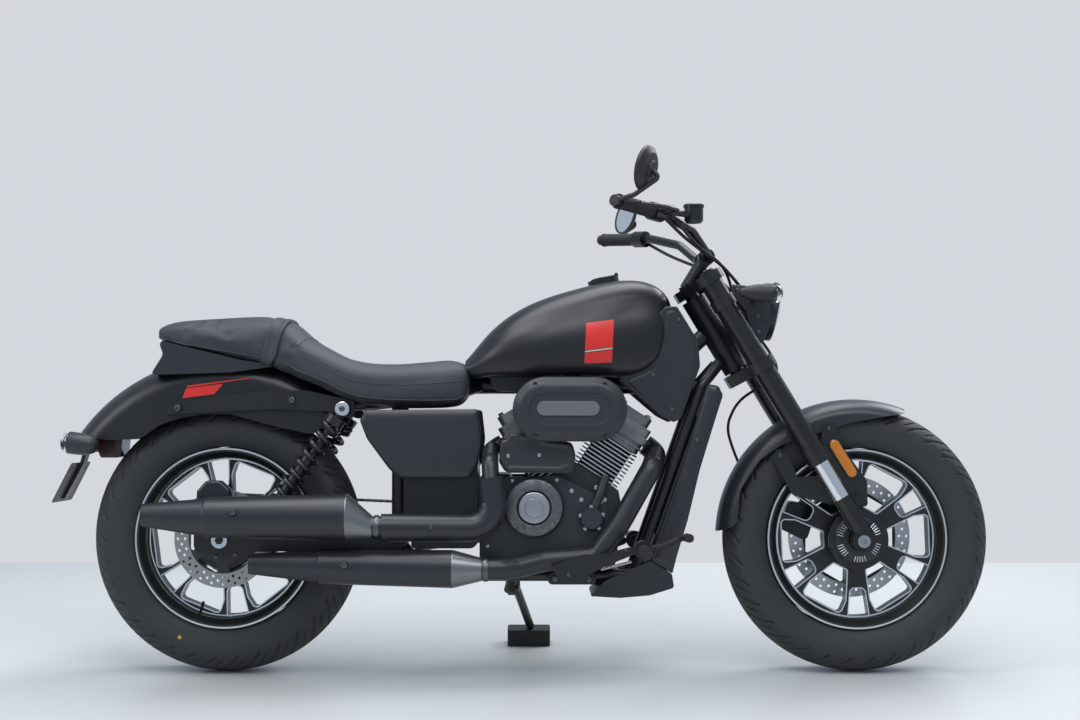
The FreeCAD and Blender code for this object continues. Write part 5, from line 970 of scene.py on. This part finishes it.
def stitches(path, length, gap=2.4, radius=0.45):
    """Short threads along a path: rounded rods between evenly spaced arc lengths."""
    seg = np.concatenate([[0], np.cumsum(np.linalg.norm(np.diff(path, axis=0), axis=1))])
    starts = np.arange(0, seg[-1] - length, length + gap)
    a, b = (np.stack([np.interp(s, seg, column) for column in path.T], -1) for s in (starts, starts + length))
    points, faces = rod([(-0.5, 0), (-0.42, 1), (0, 1.25), (0.42, 1), (0.5, 0)], 6)
    return copies((points * [length, radius, radius], faces), 0.5 * (a + b), b - a)


class CRUISER_OT_seats(bpy.types.Operator):
    """Rider's seat and passenger's pad: swollen, stitched and strapped"""
    bl_idname = "cruiser.seats"
    bl_label = "Seats"

    def execute(self, context):
        sizes = context.scene.cruiser_seats
        pads = []
        for name, node, rows in (("rider_cushion", "rider_seat", RIDER_PAD),
                                 ("passenger_cushion", "passenger_seat", PASSENGER_PAD)):
            pad = piece(name, pad_surface(rows), "seat_leather", sharp=80)
            swell(pad, sizes)
            smooth_pad(pad)
            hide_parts(node)
            pads.append(pad)
        self.seams(sizes.stitch / MM, *pads)
        self.strap()
        return {"FINISHED"}

    def seams(self, stitch, rider, rear):
        """Piping along the widest lines, under the edges and across the rider's seat, with a row of stitches
        beside each main line."""
        seams, threads = [], []

        def line(parts, make, stations, x, turn, pad, lift, *values):
            """Adds a seam or a row of stitches along a line on a pad's outside."""
            parts.append(make(settle(over_pad(stations, x, turn), pad, lift), *values))

        along = np.linspace(-566, -184, 150)
        slant = np.linspace(-0.9, math.pi + 0.9, 220)
        lean = np.interp(np.sin(slant), [-0.79, 0.0, 0.3, 1.0], [-634, -596, -574, -560])
        for turn, above in ((0.0, 0.14), (math.pi, math.pi - 0.14)):
            line(seams, tube, RIDER_PAD, along, turn, rider, 0.1, 1.3, 8)
            line(threads, stitches, RIDER_PAD, along, above, rider, 0.3, stitch)
        for turn in (-0.5, math.pi + 0.5):
            line(seams, tube, RIDER_PAD, np.linspace(-626, -186, 150), turn, rider, 0.2, 1.8, 8)
            line(seams, tube, PASSENGER_PAD, np.linspace(-924, -655, 150), turn, rear, 0.2, 1.8, 8)
        line(seams, tube, RIDER_PAD, lean, slant, rider, 0.1, 1.4, 8)
        line(threads, stitches, RIDER_PAD, lean + 7, slant, rider, 0.3, stitch)
        back = np.linspace(0.1, math.pi - 0.1, 120)
        line(threads, stitches, PASSENGER_PAD, -668 - 240 * np.sin(back) ** 0.3, back, rear, 0.3, stitch)
        piece("seat_piping", merged(*seams), "seat_leather")
        piece("seat_stitching", merged(*threads), "seat_thread")

    def strap(self):
        """Ribbed belt over the joint of the two pads: it leans back down each side."""
        turn = np.linspace(-0.8, math.pi + 0.8, 130)
        share = np.clip((np.sin(turn) + 0.72) / 1.72, 0, 1) ** 0.8
        middle, half = -648 + 15 * share, 14 + 6 * share

        def line(side, lift):
            """Points of one edge, at a share of the half width and a height above both cushions."""
            rows = [(x, low - lift, top + lift, wide + lift, dip) for x, low, top, wide, dip in
                    PASSENGER_PAD[:-1] + RIDER_PAD[1:]]
            return over_pad(rows, middle + half * side, turn)

        half_profile = ((1, -1.6), (1, 4.2), (0.84, 5.4), (0.64, 5.4), (0.5, 4.0))
        profile = [(-side, lift) for side, lift in half_profile] + list(half_profile[::-1])
        points = np.stack([line(*row) for row in profile], 1)
        belt_part = points.reshape(-1, 3), grid_faces(len(turn), len(profile), False, True)
        piece("passenger_strap", belt_part, "seat_leather", sharp=50)
        piece("strap_stitching", merged(*[stitches(line(side, 4.2), 5.0) for side in (-0.4, 0.4)]),
              "seat_thread")


# ---------------------------------------------------------------- bodywork and frame
# Rows (x, distance from the middle, z, head radius) of button heads that face outwards on both sides.
CHASSIS_BOLTS = [(327, 98.2, 846, 5.0), (266, 98.2, 713, 5.0), (311, 98.2, 632, 5.0), (370, 100.8, 559, 5.5),
                 (62, 190.0, 247, 5.5), (196, 190.0, 304, 4.5), (236, 190.0, 304, 9.0)]
FORK_BOLTS = [(688, 78.7, 587, 5.0), (571, 78.7, 523, 5.0), (757, 78.7, 404, 5.0)]

# Rows of (name, outline, distance from the middle, height, width of the rounded edge) for softly domed covers.
SHELLS = (
    ("panel_shells", [(-429, 606, 10), (-417, 630.5, 7), (-150, 632.5, 8), (-142, 562, 60), (-150, 500, 40),
                      (-170, 469, 16), (-334, 468, 22), (-360, 492, 30), (-412, 562, 60)], 143.0, 10.0, 26.0),
    ("shroud_shells", [(396, 694, 14), (424, 688, 14), (433, 664, 10), (414, 607, 80), (377, 488, 80),
                       (348, 369, 80), (322, 284, 60), (309, 244, 2), (263, 273.5, 2), (284, 345, 60),
                       (334, 487, 80), (378, 631, 60)], 90.0, 11.0, 20.0),
    ("neck_shells", [(297, 866, 6), (318, 873, 10), (344, 836, 20), (369, 795, 20), (374, 736, 30), (331, 616, 10),
                     (317, 606, 8), (287, 621, 20), (196, 700, 8), (262, 728, 30), (293, 790, 30)], 92.0, 6.5, 10.0))
CALIPER = [(-824, 392, 6), (-738, 392, 10), (-742, 440, 12), (-766, 462, 12), (-800, 462, 12), (-822, 438, 10)]
PLATE_TOP, PLATE_LOW = np.array([-1122.0, 0, 503.0]), np.array([-1166.0, 0, 415.0])
PLATE_ALONG = unit(PLATE_LOW - PLATE_TOP)
PLATE_OUT = np.array([PLATE_ALONG[2], 0, -PLATE_ALONG[0]])


class CRUISER_OT_bodywork(bpy.types.Operator):
    """Paint on the tank, fenders, covers and frame, with their fasteners"""
    bl_idname = "cruiser.bodywork"
    bl_label = "Bodywork"

    def execute(self, context):
        paint("tank_paint", "fuel_tank")
        paint("fender_paint", "rear_fender")
        paint("panel_black", "front_fender", "tail_cowl", "side_covers", "chin_fairing")
        paint("frame_black", "frame_spine", "frame_cradle", "swingarm", "fender_struts", "tail_bracket",
              "step_brackets", "muffler_hanger", "front_brackets", "stand_leg")
        paint("fork_black", "fuel_cap_ring", "fuel_lid")
        paint("bolt_steel", "rear_pins", "front_axle")
        paint("black_rubber", "stand_foot", "foot_controls")
        paint("plastic", "radiator")
        paint("plate_finish", "number_plate")
        for name, rows, base, height, inset in SHELLS:
            shell = mirrored(cap(rows, crowned(base, height, inset)))
            piece(name, shell, "panel_black", sharp=50, fill=True)
        piece("panel_bolts", side_bolts(CHASSIS_BOLTS), "black_bolt")
        piece("strut_bolts", side_bolts([(-864, 117.2, 635, 8.5), (-593, 117.2, 654, 8.5)]),
              "black_bolt")
        block = cap(CALIPER, [(0, -67), (0, -92), (2, -95), (6, -96.4), (9, -96.8)])
        caliper = piece("rear_caliper_body", block, "caliper_black", sharp=50, fill=True)
        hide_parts("rear_caliper")
        washer = ring([(0, 8), (0, 19), (-2.4, 19), (-3, 18.4), (-3, 8)], REAR_AXLE - Y * 134.2, Y, 48)
        piece("axle_washer", washer, "bare_edge")
        piece("axle_nut", copies(hex_head(9.5, 5.0), [REAR_AXLE - Y * 136.0], -Y), "fork_black")
        screws = [PLATE_TOP + Y * s * 60 + PLATE_ALONG * 14 + PLATE_OUT * 2.3 for s in (-1, 1)]
        piece("plate_screws", copies(button_head(5.0), screws, PLATE_OUT), "bolt_steel")
        return {"FINISHED"}


# ---------------------------------------------------------------- engine
# Outline rows (x, z, corner radius) of the cover under the cleaner and of the frame's lugs, and places (x, z) of the
# case's bolts.
LOW_COVER = [(-98, 559, 10), (-84, 561, 8), (-76, 576, 8), (-9, 576, 8), (6, 562, 10), (72, 554, 15), (80, 524, 18),
             (73, 493, 12), (44, 482, 12), (-86, 484, 15), (-101, 508, 14)]
FRAME_LUG = [(14, 249, 12), (126, 249, 13), (131, 218, 12), (14, 218, 12)]
CASE_BOLTS = [(-128, 452), (-70, 463), (36, 465), (140, 412), (156, 334), (104, 278), (-56, 271), (-128, 308)]
CLEANER_BACK, CLEANER_FRONT, CLEANER_R = np.array([8.0, 632.0]), np.array([124.0, 632.0]), 75.0


class CRUISER_OT_engine(bpy.types.Operator):
    """Engine finishes, cover bolts, clutch cover, cleaner face and head studs"""
    bl_idname = "cruiser.engine"
    bl_label = "Engine"

    def execute(self, context):
        paint("cast_black", "crankcase", "case_covers", "engine_right_covers", "air_cleaner")
        paint("cylinder_finish", "cylinder_barrels")
        paint("head_finish", "cylinder_heads")
        paint("badge_metal", "cleaner_plate")
        spots, _ = round_spots(CLUTCH - Y * 16.4, 64, np.arange(6) * 60 + 15)
        right = [*spots, *[(x, -117.0, z) for x, z in CASE_BOLTS], (-79, -146.0, 522), (-6, -146.0, 524)]
        left = [(x, 117.0, z) for x, z in CASE_BOLTS[2:6]]
        heads = merged(copies(button_head(5.2), right, -Y), copies(button_head(5.2), left, Y))
        piece("cover_bolts", heads, "bolt_steel")
        self.clutch()
        self.covers()
        self.cleaner()
        self.studs()
        return {"FINISHED"}

    def clutch(self):
        """Turned insert, bevel and short ribs of the clutch cover."""
        insert = lathe([(0, 0), (0, 33), (1.0, 35.6), (2.2, 36.4), (3.0, 35.4), (3.4, 33), (2.4, 30.5), (2.4, 22),
                        (3.6, 21), (3.9, 19.5), (3.9, 0)], CLUTCH - Y * 31.0, -Y, 128)
        piece("clutch_insert", insert, "insert_metal")
        bevel = ring([(16.2, 71.2), (17.0, 70.6), (24.4, 65.0), (24.9, 63.6), (23.6, 64.0), (15.8, 70.4)], CLUTCH,
                     -Y, 128)
        piece("clutch_bevel", bevel, "bolt_steel")
        bead = rod([(-3.5, 0), (-3.2, 0.9), (3.2, 0.9), (3.5, 0)], 8)
        piece("clutch_ribs", copies(bead, *round_spots(CLUTCH - Y * 30.2, 50, np.arange(48) * 7.5)),
              "cast_black")

    def covers(self):
        """Rounded cover under the cleaner, the clutch's speckled band, the pump's screws, the frame's lugs and the
        pedal's link."""
        levels = [(3, -120), *[(i, -y) for i, y in crowned(141, 8, 9)], (12, -148.6), (13.5, -147.6), (20, -147.4)]
        piece("lower_cover_shell", cap(LOW_COVER, levels), "cast_black", sharp=50, fill=True)
        band = ring([(30.2, 42), (30.9, 43), (30.9, 52.4), (25.0, 66.4), (24.0, 66.0), (29.6, 51.8)], CLUTCH,
                    -Y, 128)
        piece("clutch_band", band, "speckled_steel")
        spots, _ = round_spots([118, -135.2, 374], 27, np.arange(5) * 72 + 20)
        spots = [*spots, (94, -117.2, 418), (149, -117.2, 418), (71, -117.2, 439), (129, -117.2, 447)]
        piece("pump_screws", copies(hex_head(4.2, 4.5), spots, -Y), "bolt_steel")
        lug = cap(FRAME_LUG, [(0, -104)] + [(i, -y) for i, y in crowned(120, 4, 4)])
        piece("frame_lugs", mirrored(lug), "frame_black", sharp=50, fill=True)
        piece("lug_bolts", side_bolts([(32, 124.5, 233, 8.5), (110, 124.5, 232, 8.5)]), "black_bolt")
        link = tube(curve_through([(138, -170, 258), (170, -171, 266), (209, -172, 276)], 12), 3.4, 12)
        piece("pedal_link", link, "bolt_steel")

    def cleaner(self):
        """Domed face over the air cleaner, ribs round its rim and four bolts."""
        left, right = CLEANER_BACK[0] - CLEANER_R, CLEANER_FRONT[0] + CLEANER_R
        stadium = [(left, 557, 74.9), (left, 707, 74.9), (right, 707, 74.9), (right, 557, 74.9)]
        face = cap(stadium, [(6, -150), (0.4, -163), (-0.6, -164), (-0.6, -178), (1.5, -180.6), (9, -183.4),
                             (14, -187.6), (17, -189.6), (24, -190.9), (34, -191.4), (37.5, -191.2), (39, -189.4),
                             (44, -188.6)], 24)
        piece("cleaner_face", face, "cast_black", sharp=40, fill=True)
        rim = offset(belt(CLEANER_BACK, CLEANER_R, CLEANER_FRONT, CLEANER_R, 9.5), 0.2)
        rib = rod([(-8.2, 0), (-7.8, 1.5), (7.8, 1.5), (8.2, 0)], 8)
        piece("cleaner_ribs", copies(rib, side_loop(rim, -171.0), Y), "cast_black")
        corners = [(66 + sx * 81, -184.6, 632 + sz * 59) for sx in (-1, 1) for sz in (-1, 1)]
        piece("cleaner_bolts", copies(button_head(5.5), corners, -Y), "fork_black")

    def studs(self):
        """Studs round each head's cover."""
        rows = [(t, a, y) for t in CYLINDER_TILTS for a in (-34, 34) for y in (-42, 42)]
        places = np.array([tilted(t, 280.0, a, y) for t, a, y in rows])
        ways = [tilted(t, 1, 0) - CRANK for t, _, _ in rows]
        piece("head_studs", copies(hex_head(6.0, 7.0), places, ways), "bolt_steel")


class CRUISER_OT_exhaust(bpy.types.Operator):
    """Exhaust finish, heat-shield bolts, clamps and the dark mouths of both cans"""
    bl_idname = "cruiser.exhaust"
    bl_label = "Exhaust"

    def execute(self, context):
        paint("exhaust_finish", "exhaust_headers", "mufflers")
        for name, radius, spots in (("shield_bolts", 6.0, [(-255, -233, 361), (-132, -233, 409)]),
                                    ("can_bolts", 9.0, [(-707, -256.8, 397), (-454, -236.6, 274)])):
            piece(name, copies(button_head(radius), spots, -Y), "black_bolt")
        clamp = [(0, 25.2), (0, 27.2), (3, 28.4), (9, 28.4), (12, 27.2), (12, 25.2)]
        clamps = [ring(clamp, place, FORWARD, 48) for place in ([-388, -207, 358.5], [-136, -195, 260])]
        piece("pipe_clamps", merged(*clamps), "black_bolt")
        mouths = [ring([(-0.6, r - 4), (-1.6, r - 2.5), (-1.2, r - 0.4), (0.4, r + 0.2), (4, r - 4.0)], place,
                       FORWARD, 72) for place, r in (([-924, -207, 386], 26.5), ([-677, -195, 273], 24.0))]
        piece("can_lips", merged(*mouths), "fork_black")
        return {"FINISHED"}


# ---------------------------------------------------------------- chain
def side_plate(outward, sides=20):
    """Waisted link plate along +X: a flattened circle (12*cos t, w*sin t), w narrowing from 4.1 to 3.1 at the
    waist, in five levels toward one side."""
    t = np.linspace(0, 2 * math.pi, sides, endpoint=False)
    waist = 4.1 - 1.0 * np.exp(-(np.cos(t) / 0.35) ** 2)
    loops = [np.stack([np.cos(t) * 12.0 * k, np.sin(t) * waist * k, np.full(sides, -outward * y)], 1)
             for k, y in ((0.0, -0.8), (1.0, -0.8), (1.0, 0.7), (0.9, 0.9), (0.0, 0.9))]
    return np.concatenate(loops), grid_faces(5, sides, False, True)


class CRUISER_OT_chain(bpy.types.Operator):
    """Roller chain: waisted side plates and rollers, one link a pitch, round both sprockets"""
    bl_idname = "cruiser.chain"
    bl_label = "Chain"

    def execute(self, context):
        lift = 4.3  # the pins' height above the bottoms of the sprockets' gaps
        pins = side_loop(belt([-112.0, 352.0], 36.5 + lift, REAR_AXLE[[0, 2]], 94.5 + lift, 15.875), 92.0)
        nexts = np.roll(pins, -1, 0)
        roller = rod([(-6.3, 0), (-6.3, 1.9), (-3.2, 1.9), (-3.2, 3.9), (3.2, 3.9), (3.2, 1.9), (6.3, 1.9),
                      (6.3, 0)], 10)
        parts = [copies(side_plate(sign), (0.5 * (pins + nexts))[first::2] + Y * sign * reach,
                        (nexts - pins)[first::2]) for first, reach in ((0, 4.2), (1, 5.4)) for sign in (-1, 1)]
        chain = piece("chain_links", merged(*parts, copies(roller, pins, Y)), "chain_steel")
        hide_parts("chain")
        return {"FINISHED"}


# ---------------------------------------------------------------- front end, bars and lamps
GRIP_IN, GRIP_OUT = np.array([286.0, 256.0, 1078.0]), np.array([168.0, 400.0, 1091.0])
LAMP, LAMP_WAY, LAMP_R = np.array([552.0, 0.0, 874.0]), unit([0.985, 0, -0.17]), 72.0
MIRROR, MIRROR_WAY = np.array([229.0, 434.0, 1160.0]), unit([-0.86, -0.45, 0.24])
SHOCK_TOP, SHOCK_LOW = np.array([-470.0, 132.0, 633.0]), np.array([-650.0, 132.0, 372.0])
REFLECTOR, STRAP_WAY = np.array([720.5, 514.5]), unit([45.0, -73.0])
LAMP_EAR = [(446, 933, 10), (488, 930, 14), (516, 918, 12), (545, 890, 16), (552, 844, 14), (530, 786, 8),
            (502, 815, 16), (487, 867, 16), (456, 904, 10)]


class CRUISER_OT_front(bpy.types.Operator):
    """Fork, clamps and brake finishes with their bolts, the shocks' springs and the reflectors"""
    bl_idname = "cruiser.front"
    bl_label = "Front end"

    def execute(self, context):
        paint("fork_black", "fork_legs", "fork_yokes", "handlebar", "bar_clamps", "levers")
        paint("chrome", "stanchions")
        paint("black_rubber", "control_cables")
        paint("caliper_black", "front_caliper")
        paint("frame_black", "shock_dampers")
        paint("plastic", "mirror_housings", "front_signals", "rear_signals")
        self.springs()
        rows = [(s, up) for s in (-1, 1) for up in (472.0, 486.0, 714.0, 726.0)]
        bolts = [on_fork(8.8, s * 92.0, up) for s, up in rows] + [on_fork(45, s * 105.0, 740.2) for s in (-1, 1)]
        ways = [-AHEAD] * len(rows) + [UP_FORK] * 2
        piece("clamp_bolts", copies(button_head(4.6), bolts, ways), "black_bolt", "steering")
        piece("fender_bolts", side_bolts(FORK_BOLTS), "black_bolt", "steering")
        self.reflectors()
        return {"FINISHED"}

    def springs(self):
        """Coil springs and sleeves of the rear shocks, with a washer and a bolt on each upper eye."""
        way, span = unit(SHOCK_TOP - SHOCK_LOW), np.linalg.norm(SHOCK_TOP - SHOCK_LOW)
        both = mirrored(coil(SHOCK_LOW + way * 44.5, SHOCK_LOW + way * (span - 50.5), 20.3, 6.1, 9.6))
        springs = piece("coil_springs", both, "spring_steel", sharp=60)
        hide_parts("shock_springs")
        sleeve = lathe([(38.4, 15.1), (39, 16.0), (60, 16.0), (60.6, 15.1)], SHOCK_LOW, way, 40)
        piece("spring_sleeves", mirrored(sleeve), "bolt_steel")
        washer = lathe([(-7.6, 12.2), (-7.6, 15.6), (-6.4, 16.6), (1.4, 16.6), (2.4, 15.4), (2.4, 7.2), (0.6, 6.6),
                        (0.6, 0)], SHOCK_TOP + Y * 19, Y, 48)
        piece("shock_washers", mirrored(washer), "bare_edge")
        piece("shock_bolts", side_bolts([(-470, 151.7, 633, 6.2)]), "black_bolt")

    def reflectors(self):
        """Amber obround on each fender strap: a stadium outline along the strap, with a rounded edge."""
        square = np.array([-STRAP_WAY[1], STRAP_WAY[0]])
        t = np.linspace(0, 2 * math.pi, 48, endpoint=False)

        def stadium(radius, half, y):
            """Two half circles of a radius, each moved out by a half length."""
            shift = np.where(np.cos(t) > 0, half, -half)
            return side_loop(REFLECTOR + (shift + radius * np.cos(t))[:, None] * STRAP_WAY +
                             (radius * np.sin(t))[:, None] * square, y)

        for name, finish, slot, base, levels in (
                ("reflector_bases", "black_bolt", "frame_black", 79.0,
                 ((0.01, 0, 0), (13.6, 38, 0), (13.6, 38, 4.2), (12.8, 38, 5.0), (0.01, 0, 5.0))),
                ("reflectors", "amber_lens", "red_lens", 83.8,
                 ((0.01, 0, 0), (11.8, 38, 0), (11.8, 38, 2.6), (10.8, 37.6, 4.0), (8.0, 36, 4.8), (0.01, 0, 5.0)))):
            points = np.concatenate([stadium(r, h, -base - d) for r, h, d in levels])
            piece(name, mirrored((points, grid_faces(len(levels), len(t), False, True))), finish, "steering")


class CRUISER_OT_bars(bpy.types.Operator):
    """Ribbed grips and mirror glasses"""
    bl_idname = "cruiser.bars"
    bl_label = "Bars"

    def execute(self, context):
        length = np.linalg.norm(GRIP_OUT - GRIP_IN)
        s = np.linspace(61.0, length - 1.0, 200)
        r = 15.6 + 0.7 * (np.sin(s * 2 * math.pi / 4.2) > 0) + 1.6 * (s < 66) + 1.2 * (s > length - 6)
        rows = [(s[0], 11.4), *zip(s, r), (s[-1], 11.4)]
        grip = ring(rows, GRIP_IN, GRIP_OUT - GRIP_IN, 48)
        both = piece("ribbed_grips", mirrored(grip), "black_rubber", "steering", 60)
        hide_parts("grips")
        glass = lathe([(0.4, 0), (0.4, 46.4), (1.6, 46.4), (2.3, 45.6), (2.6, 43), (3.0, 0)], MIRROR, MIRROR_WAY, 96)
        piece("mirror_glasses", mirrored(glass), "mirror_glass", "steering")
        return {"FINISHED"}


class CRUISER_OT_lamps(bpy.types.Operator):
    """Headlight shell, ears, bowl, bulb and glass, the signals' cases and lenses, and the tail lamp's finish"""
    bl_idname = "cruiser.lamps"
    bl_label = "Lamps"

    def execute(self, context):
        paint("smoked_lens", "tail_lamp")
        r = LAMP_R
        lamp = self.turned("headlight_shell", "engine_black", "panel_black", [
            (-52, 0), (-51, 18), (-47, 32), (-38, 50), (-26, r - 11), (-14, r - 6), (-2, r - 4.2), (6, r - 4),
            (6, r - 0.3), (8, r), (16, r), (18, r - 1), (18, r - 6), (12, r - 8), (8, r - 9), (-4, r - 18),
            (-20, r - 34), (-30, r - 52), (-33, 8), (-33, 0)])
        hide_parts("headlight")
        ears = mirrored(cap(LAMP_EAR, crowned(82.0, 4.0, 4.0)))
        piece("lamp_ears", ears, "panel_black", "steering", 50, True)
        piece("ear_bolts", side_bolts([(518, 86.0, 856, 5.5), (520, 86.0, 817, 5.5), (470, 86.0, 919, 5.5)]),
              "black_bolt", "steering")
        self.turned("headlight_bowl", "bright_steel", "mirror_glass", [
            (9.0, r - 9.6), (-3, r - 18.4), (-19, r - 34.4), (-28, r - 52), (-31, 9), (-31, 0)], sharp=70)
        self.turned("headlight_bulb", "bright_steel", "bare_edge", [
            (-30, 0), (-30, 9), (-18, 9), (-14, 6), (0, 5.4), (4, 3), (4.6, 0)], 32)
        lens = self.turned("headlight_glass", "clear_lens", "clear_lens", [
            (9.5, 0), (9.5, r - 10.5), (13, r - 8.5), (17, r - 8.4), (20.5, r - 14), (25.5, 40), (28.4, 20),
            (29.4, 0)])
        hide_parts("headlight_lens")
        front = lathe([(2.6, 0), (2.6, 20.6), (6, 21.2), (11, 19.6), (17, 15.4), (21, 8.6), (22.4, 0)],
                      [548, 146, 905], [1, 0, -0.04], 48)
        piece("front_signal_lenses", mirrored(front), "clear_lens", "steering")
        nose, way = [-1116, 126, 553], [-0.99, 0, 0.12]
        case = lathe([(-66, 0), (-65, 9), (-60, 17), (-48, 23), (-30, 26), (0, 26.6), (3, 26), (3, 24.6), (1.5, 24),
                      (1.5, 0)], nose, way, 48)
        piece("rear_signal_cases", mirrored(case), "cast_black")
        rear = lathe([(2.6, 0), (2.6, 24.0), (6, 24.6), (11, 23), (17, 18.4), (21, 10), (22.4, 0)], nose, way, 48)
        piece("rear_signal_lenses", mirrored(rear), "clear_lens")
        return {"FINISHED"}

    def turned(self, name, slot, finish, profile, steps=128, sharp=35.0):
        """A part of the headlight, turned about the lamp's axis."""
        return piece(name, lathe(profile, LAMP, LAMP_WAY, steps), finish, "steering", sharp)


# ---------------------------------------------------------------- stage
EYE, LOOK_DOWN, LENS = (0.0414, -4.1738, 0.956), 2.84, 56.47
FLOOR_HALF = 40.0
LAMP_COLOUR = (0.97, 0.98, 1.0)


def stood(name, data):
    """An object of the stage, linked to the scene."""
    obj = bpy.data.objects.new(name, data)
    bpy.context.scene.collection.objects.link(obj)
    return obj


class CRUISER_OT_stage(bpy.types.Operator):
    """Pale floor and backdrop, soft lamps and the camera"""
    bl_idname = "cruiser.stage"
    bl_label = "Stage"

    def execute(self, context):
        sizes = context.scene.cruiser_stage
        tone = np.array(sizes.floor)
        finish = cloudy("stage_floor", tuple(tone * 0.96), tuple(np.minimum(tone * 1.04, 1.0)), 0.34, 0.1,
                        (0.8, 4.0))
        mesh = bpy.data.meshes.new("stage_floor")
        corners = [(-FLOOR_HALF, -FLOOR_HALF, 0), (FLOOR_HALF, -FLOOR_HALF, 0), (FLOOR_HALF, sizes.back, 0),
                   (-FLOOR_HALF, sizes.back, 0)]
        mesh.from_pydata(corners, [], [(0, 1, 2, 3)])
        mesh.materials.append(finish)
        floor = stood("stage_floor", mesh)
        self.lamps(context, sizes)
        camera = bpy.data.cameras.new("camera")
        camera.lens, camera.sensor_width = LENS, 36.0
        eye = stood("camera", camera)
        eye.location = EYE
        eye.rotation_euler = (math.radians(90.0 - LOOK_DOWN), 0.0, 0.0)
        context.scene.camera = eye
        context.scene.view_settings.view_transform = "Standard"
        return {"FINISHED"}

    def lamps(self, context, sizes):
        """Even light from all round, seen as the backdrop's colour by the camera, and four soft lamps."""
        book = Book("studio", "worlds")
        light = book.add("ShaderNodeBackground", None, {0: (0.70, 0.83, 1.0), 1: sizes.sky})
        seen = book.add("ShaderNodeBackground", None, {0: tuple(sizes.wall), 1: 1.0})
        direct = book.add("ShaderNodeLightPath", output="Is Camera Ray")
        through = book.add("ShaderNodeLightPath", output="Is Transmission Ray")
        both = book.add("ShaderNodeMixShader", None, {0: direct.most(through), 1: light, 2: seen})
        book.add("ShaderNodeOutputWorld", None, {0: both})
        context.scene.world = book.material
        for name, place, aim, size, share in (
                ("key_lamp", (0.6, -2.4, 3.6), (0, 0, 0.5), (3.4, 1.6), 1.0),
                ("fill_lamp", (-3.4, -1.6, 2.6), (-0.4, 0, 0.5), (2.0, 1.6), 0.5),
                ("rim_lamp", (2.6, 1.9, 2.8), (0.4, 0, 0.7), (2.0, 1.4), 0.9),
                ("top_lamp", (-0.2, 0.2, 3.4), (0, 0, 0.5), (4.4, 1.5), 1.5)):
            lamp = bpy.data.lights.new(name, "AREA")
            lamp.shape, lamp.size, lamp.size_y, lamp.energy = "RECTANGLE", *size, sizes.lamp * share
            lamp.color = LAMP_COLOUR
            obj = stood(name, lamp)
            obj.location = place
            obj.rotation_euler = (Vector(aim) - Vector(place)).to_track_quat("-Z", "Y").to_euler()


# ---------------------------------------------------------------- panel and run
OPERATORS = (CRUISER_OT_tyres, CRUISER_OT_wheels, CRUISER_OT_seats, CRUISER_OT_bodywork, CRUISER_OT_engine,
             CRUISER_OT_exhaust, CRUISER_OT_chain, CRUISER_OT_front, CRUISER_OT_bars, CRUISER_OT_lamps,
             CRUISER_OT_stage)
GROUPS = {"cruiser_tyres": CruiserTyres, "cruiser_seats": CruiserSeats, "cruiser_stage": CruiserStage}


class CRUISER_PT_panel(bpy.types.Panel):
    """Lists every group of pieces and the sizes they read"""
    bl_idname = "CRUISER_PT_panel"
    bl_label = "Cruiser"
    bl_space_type = "VIEW_3D"
    bl_region_type = "UI"
    bl_category = "Cruiser"

    def draw(self, context):
        for operator in OPERATORS:
            self.layout.operator(operator.bl_idname)
        for name, group in GROUPS.items():
            box = self.layout.box()
            for key in group.__annotations__:
                box.prop(getattr(context.scene, name), key)


def register():
    for group in (*GROUPS.values(), *OPERATORS, CRUISER_PT_panel):
        bpy.utils.register_class(group)
    for name, group in GROUPS.items():
        setattr(bpy.types.Scene, name, PointerProperty(type=group))


def unregister():
    for name in GROUPS:
        delattr(bpy.types.Scene, name)
    for group in (CRUISER_PT_panel, *reversed(OPERATORS), *GROUPS.values()):
        bpy.utils.unregister_class(group)


def main():
    register()
    make_finishes()
    for operator in OPERATORS:
        group, name = operator.bl_idname.split(".")
        getattr(getattr(bpy.ops, group), name)()


if __name__ == "__main__":
    main()
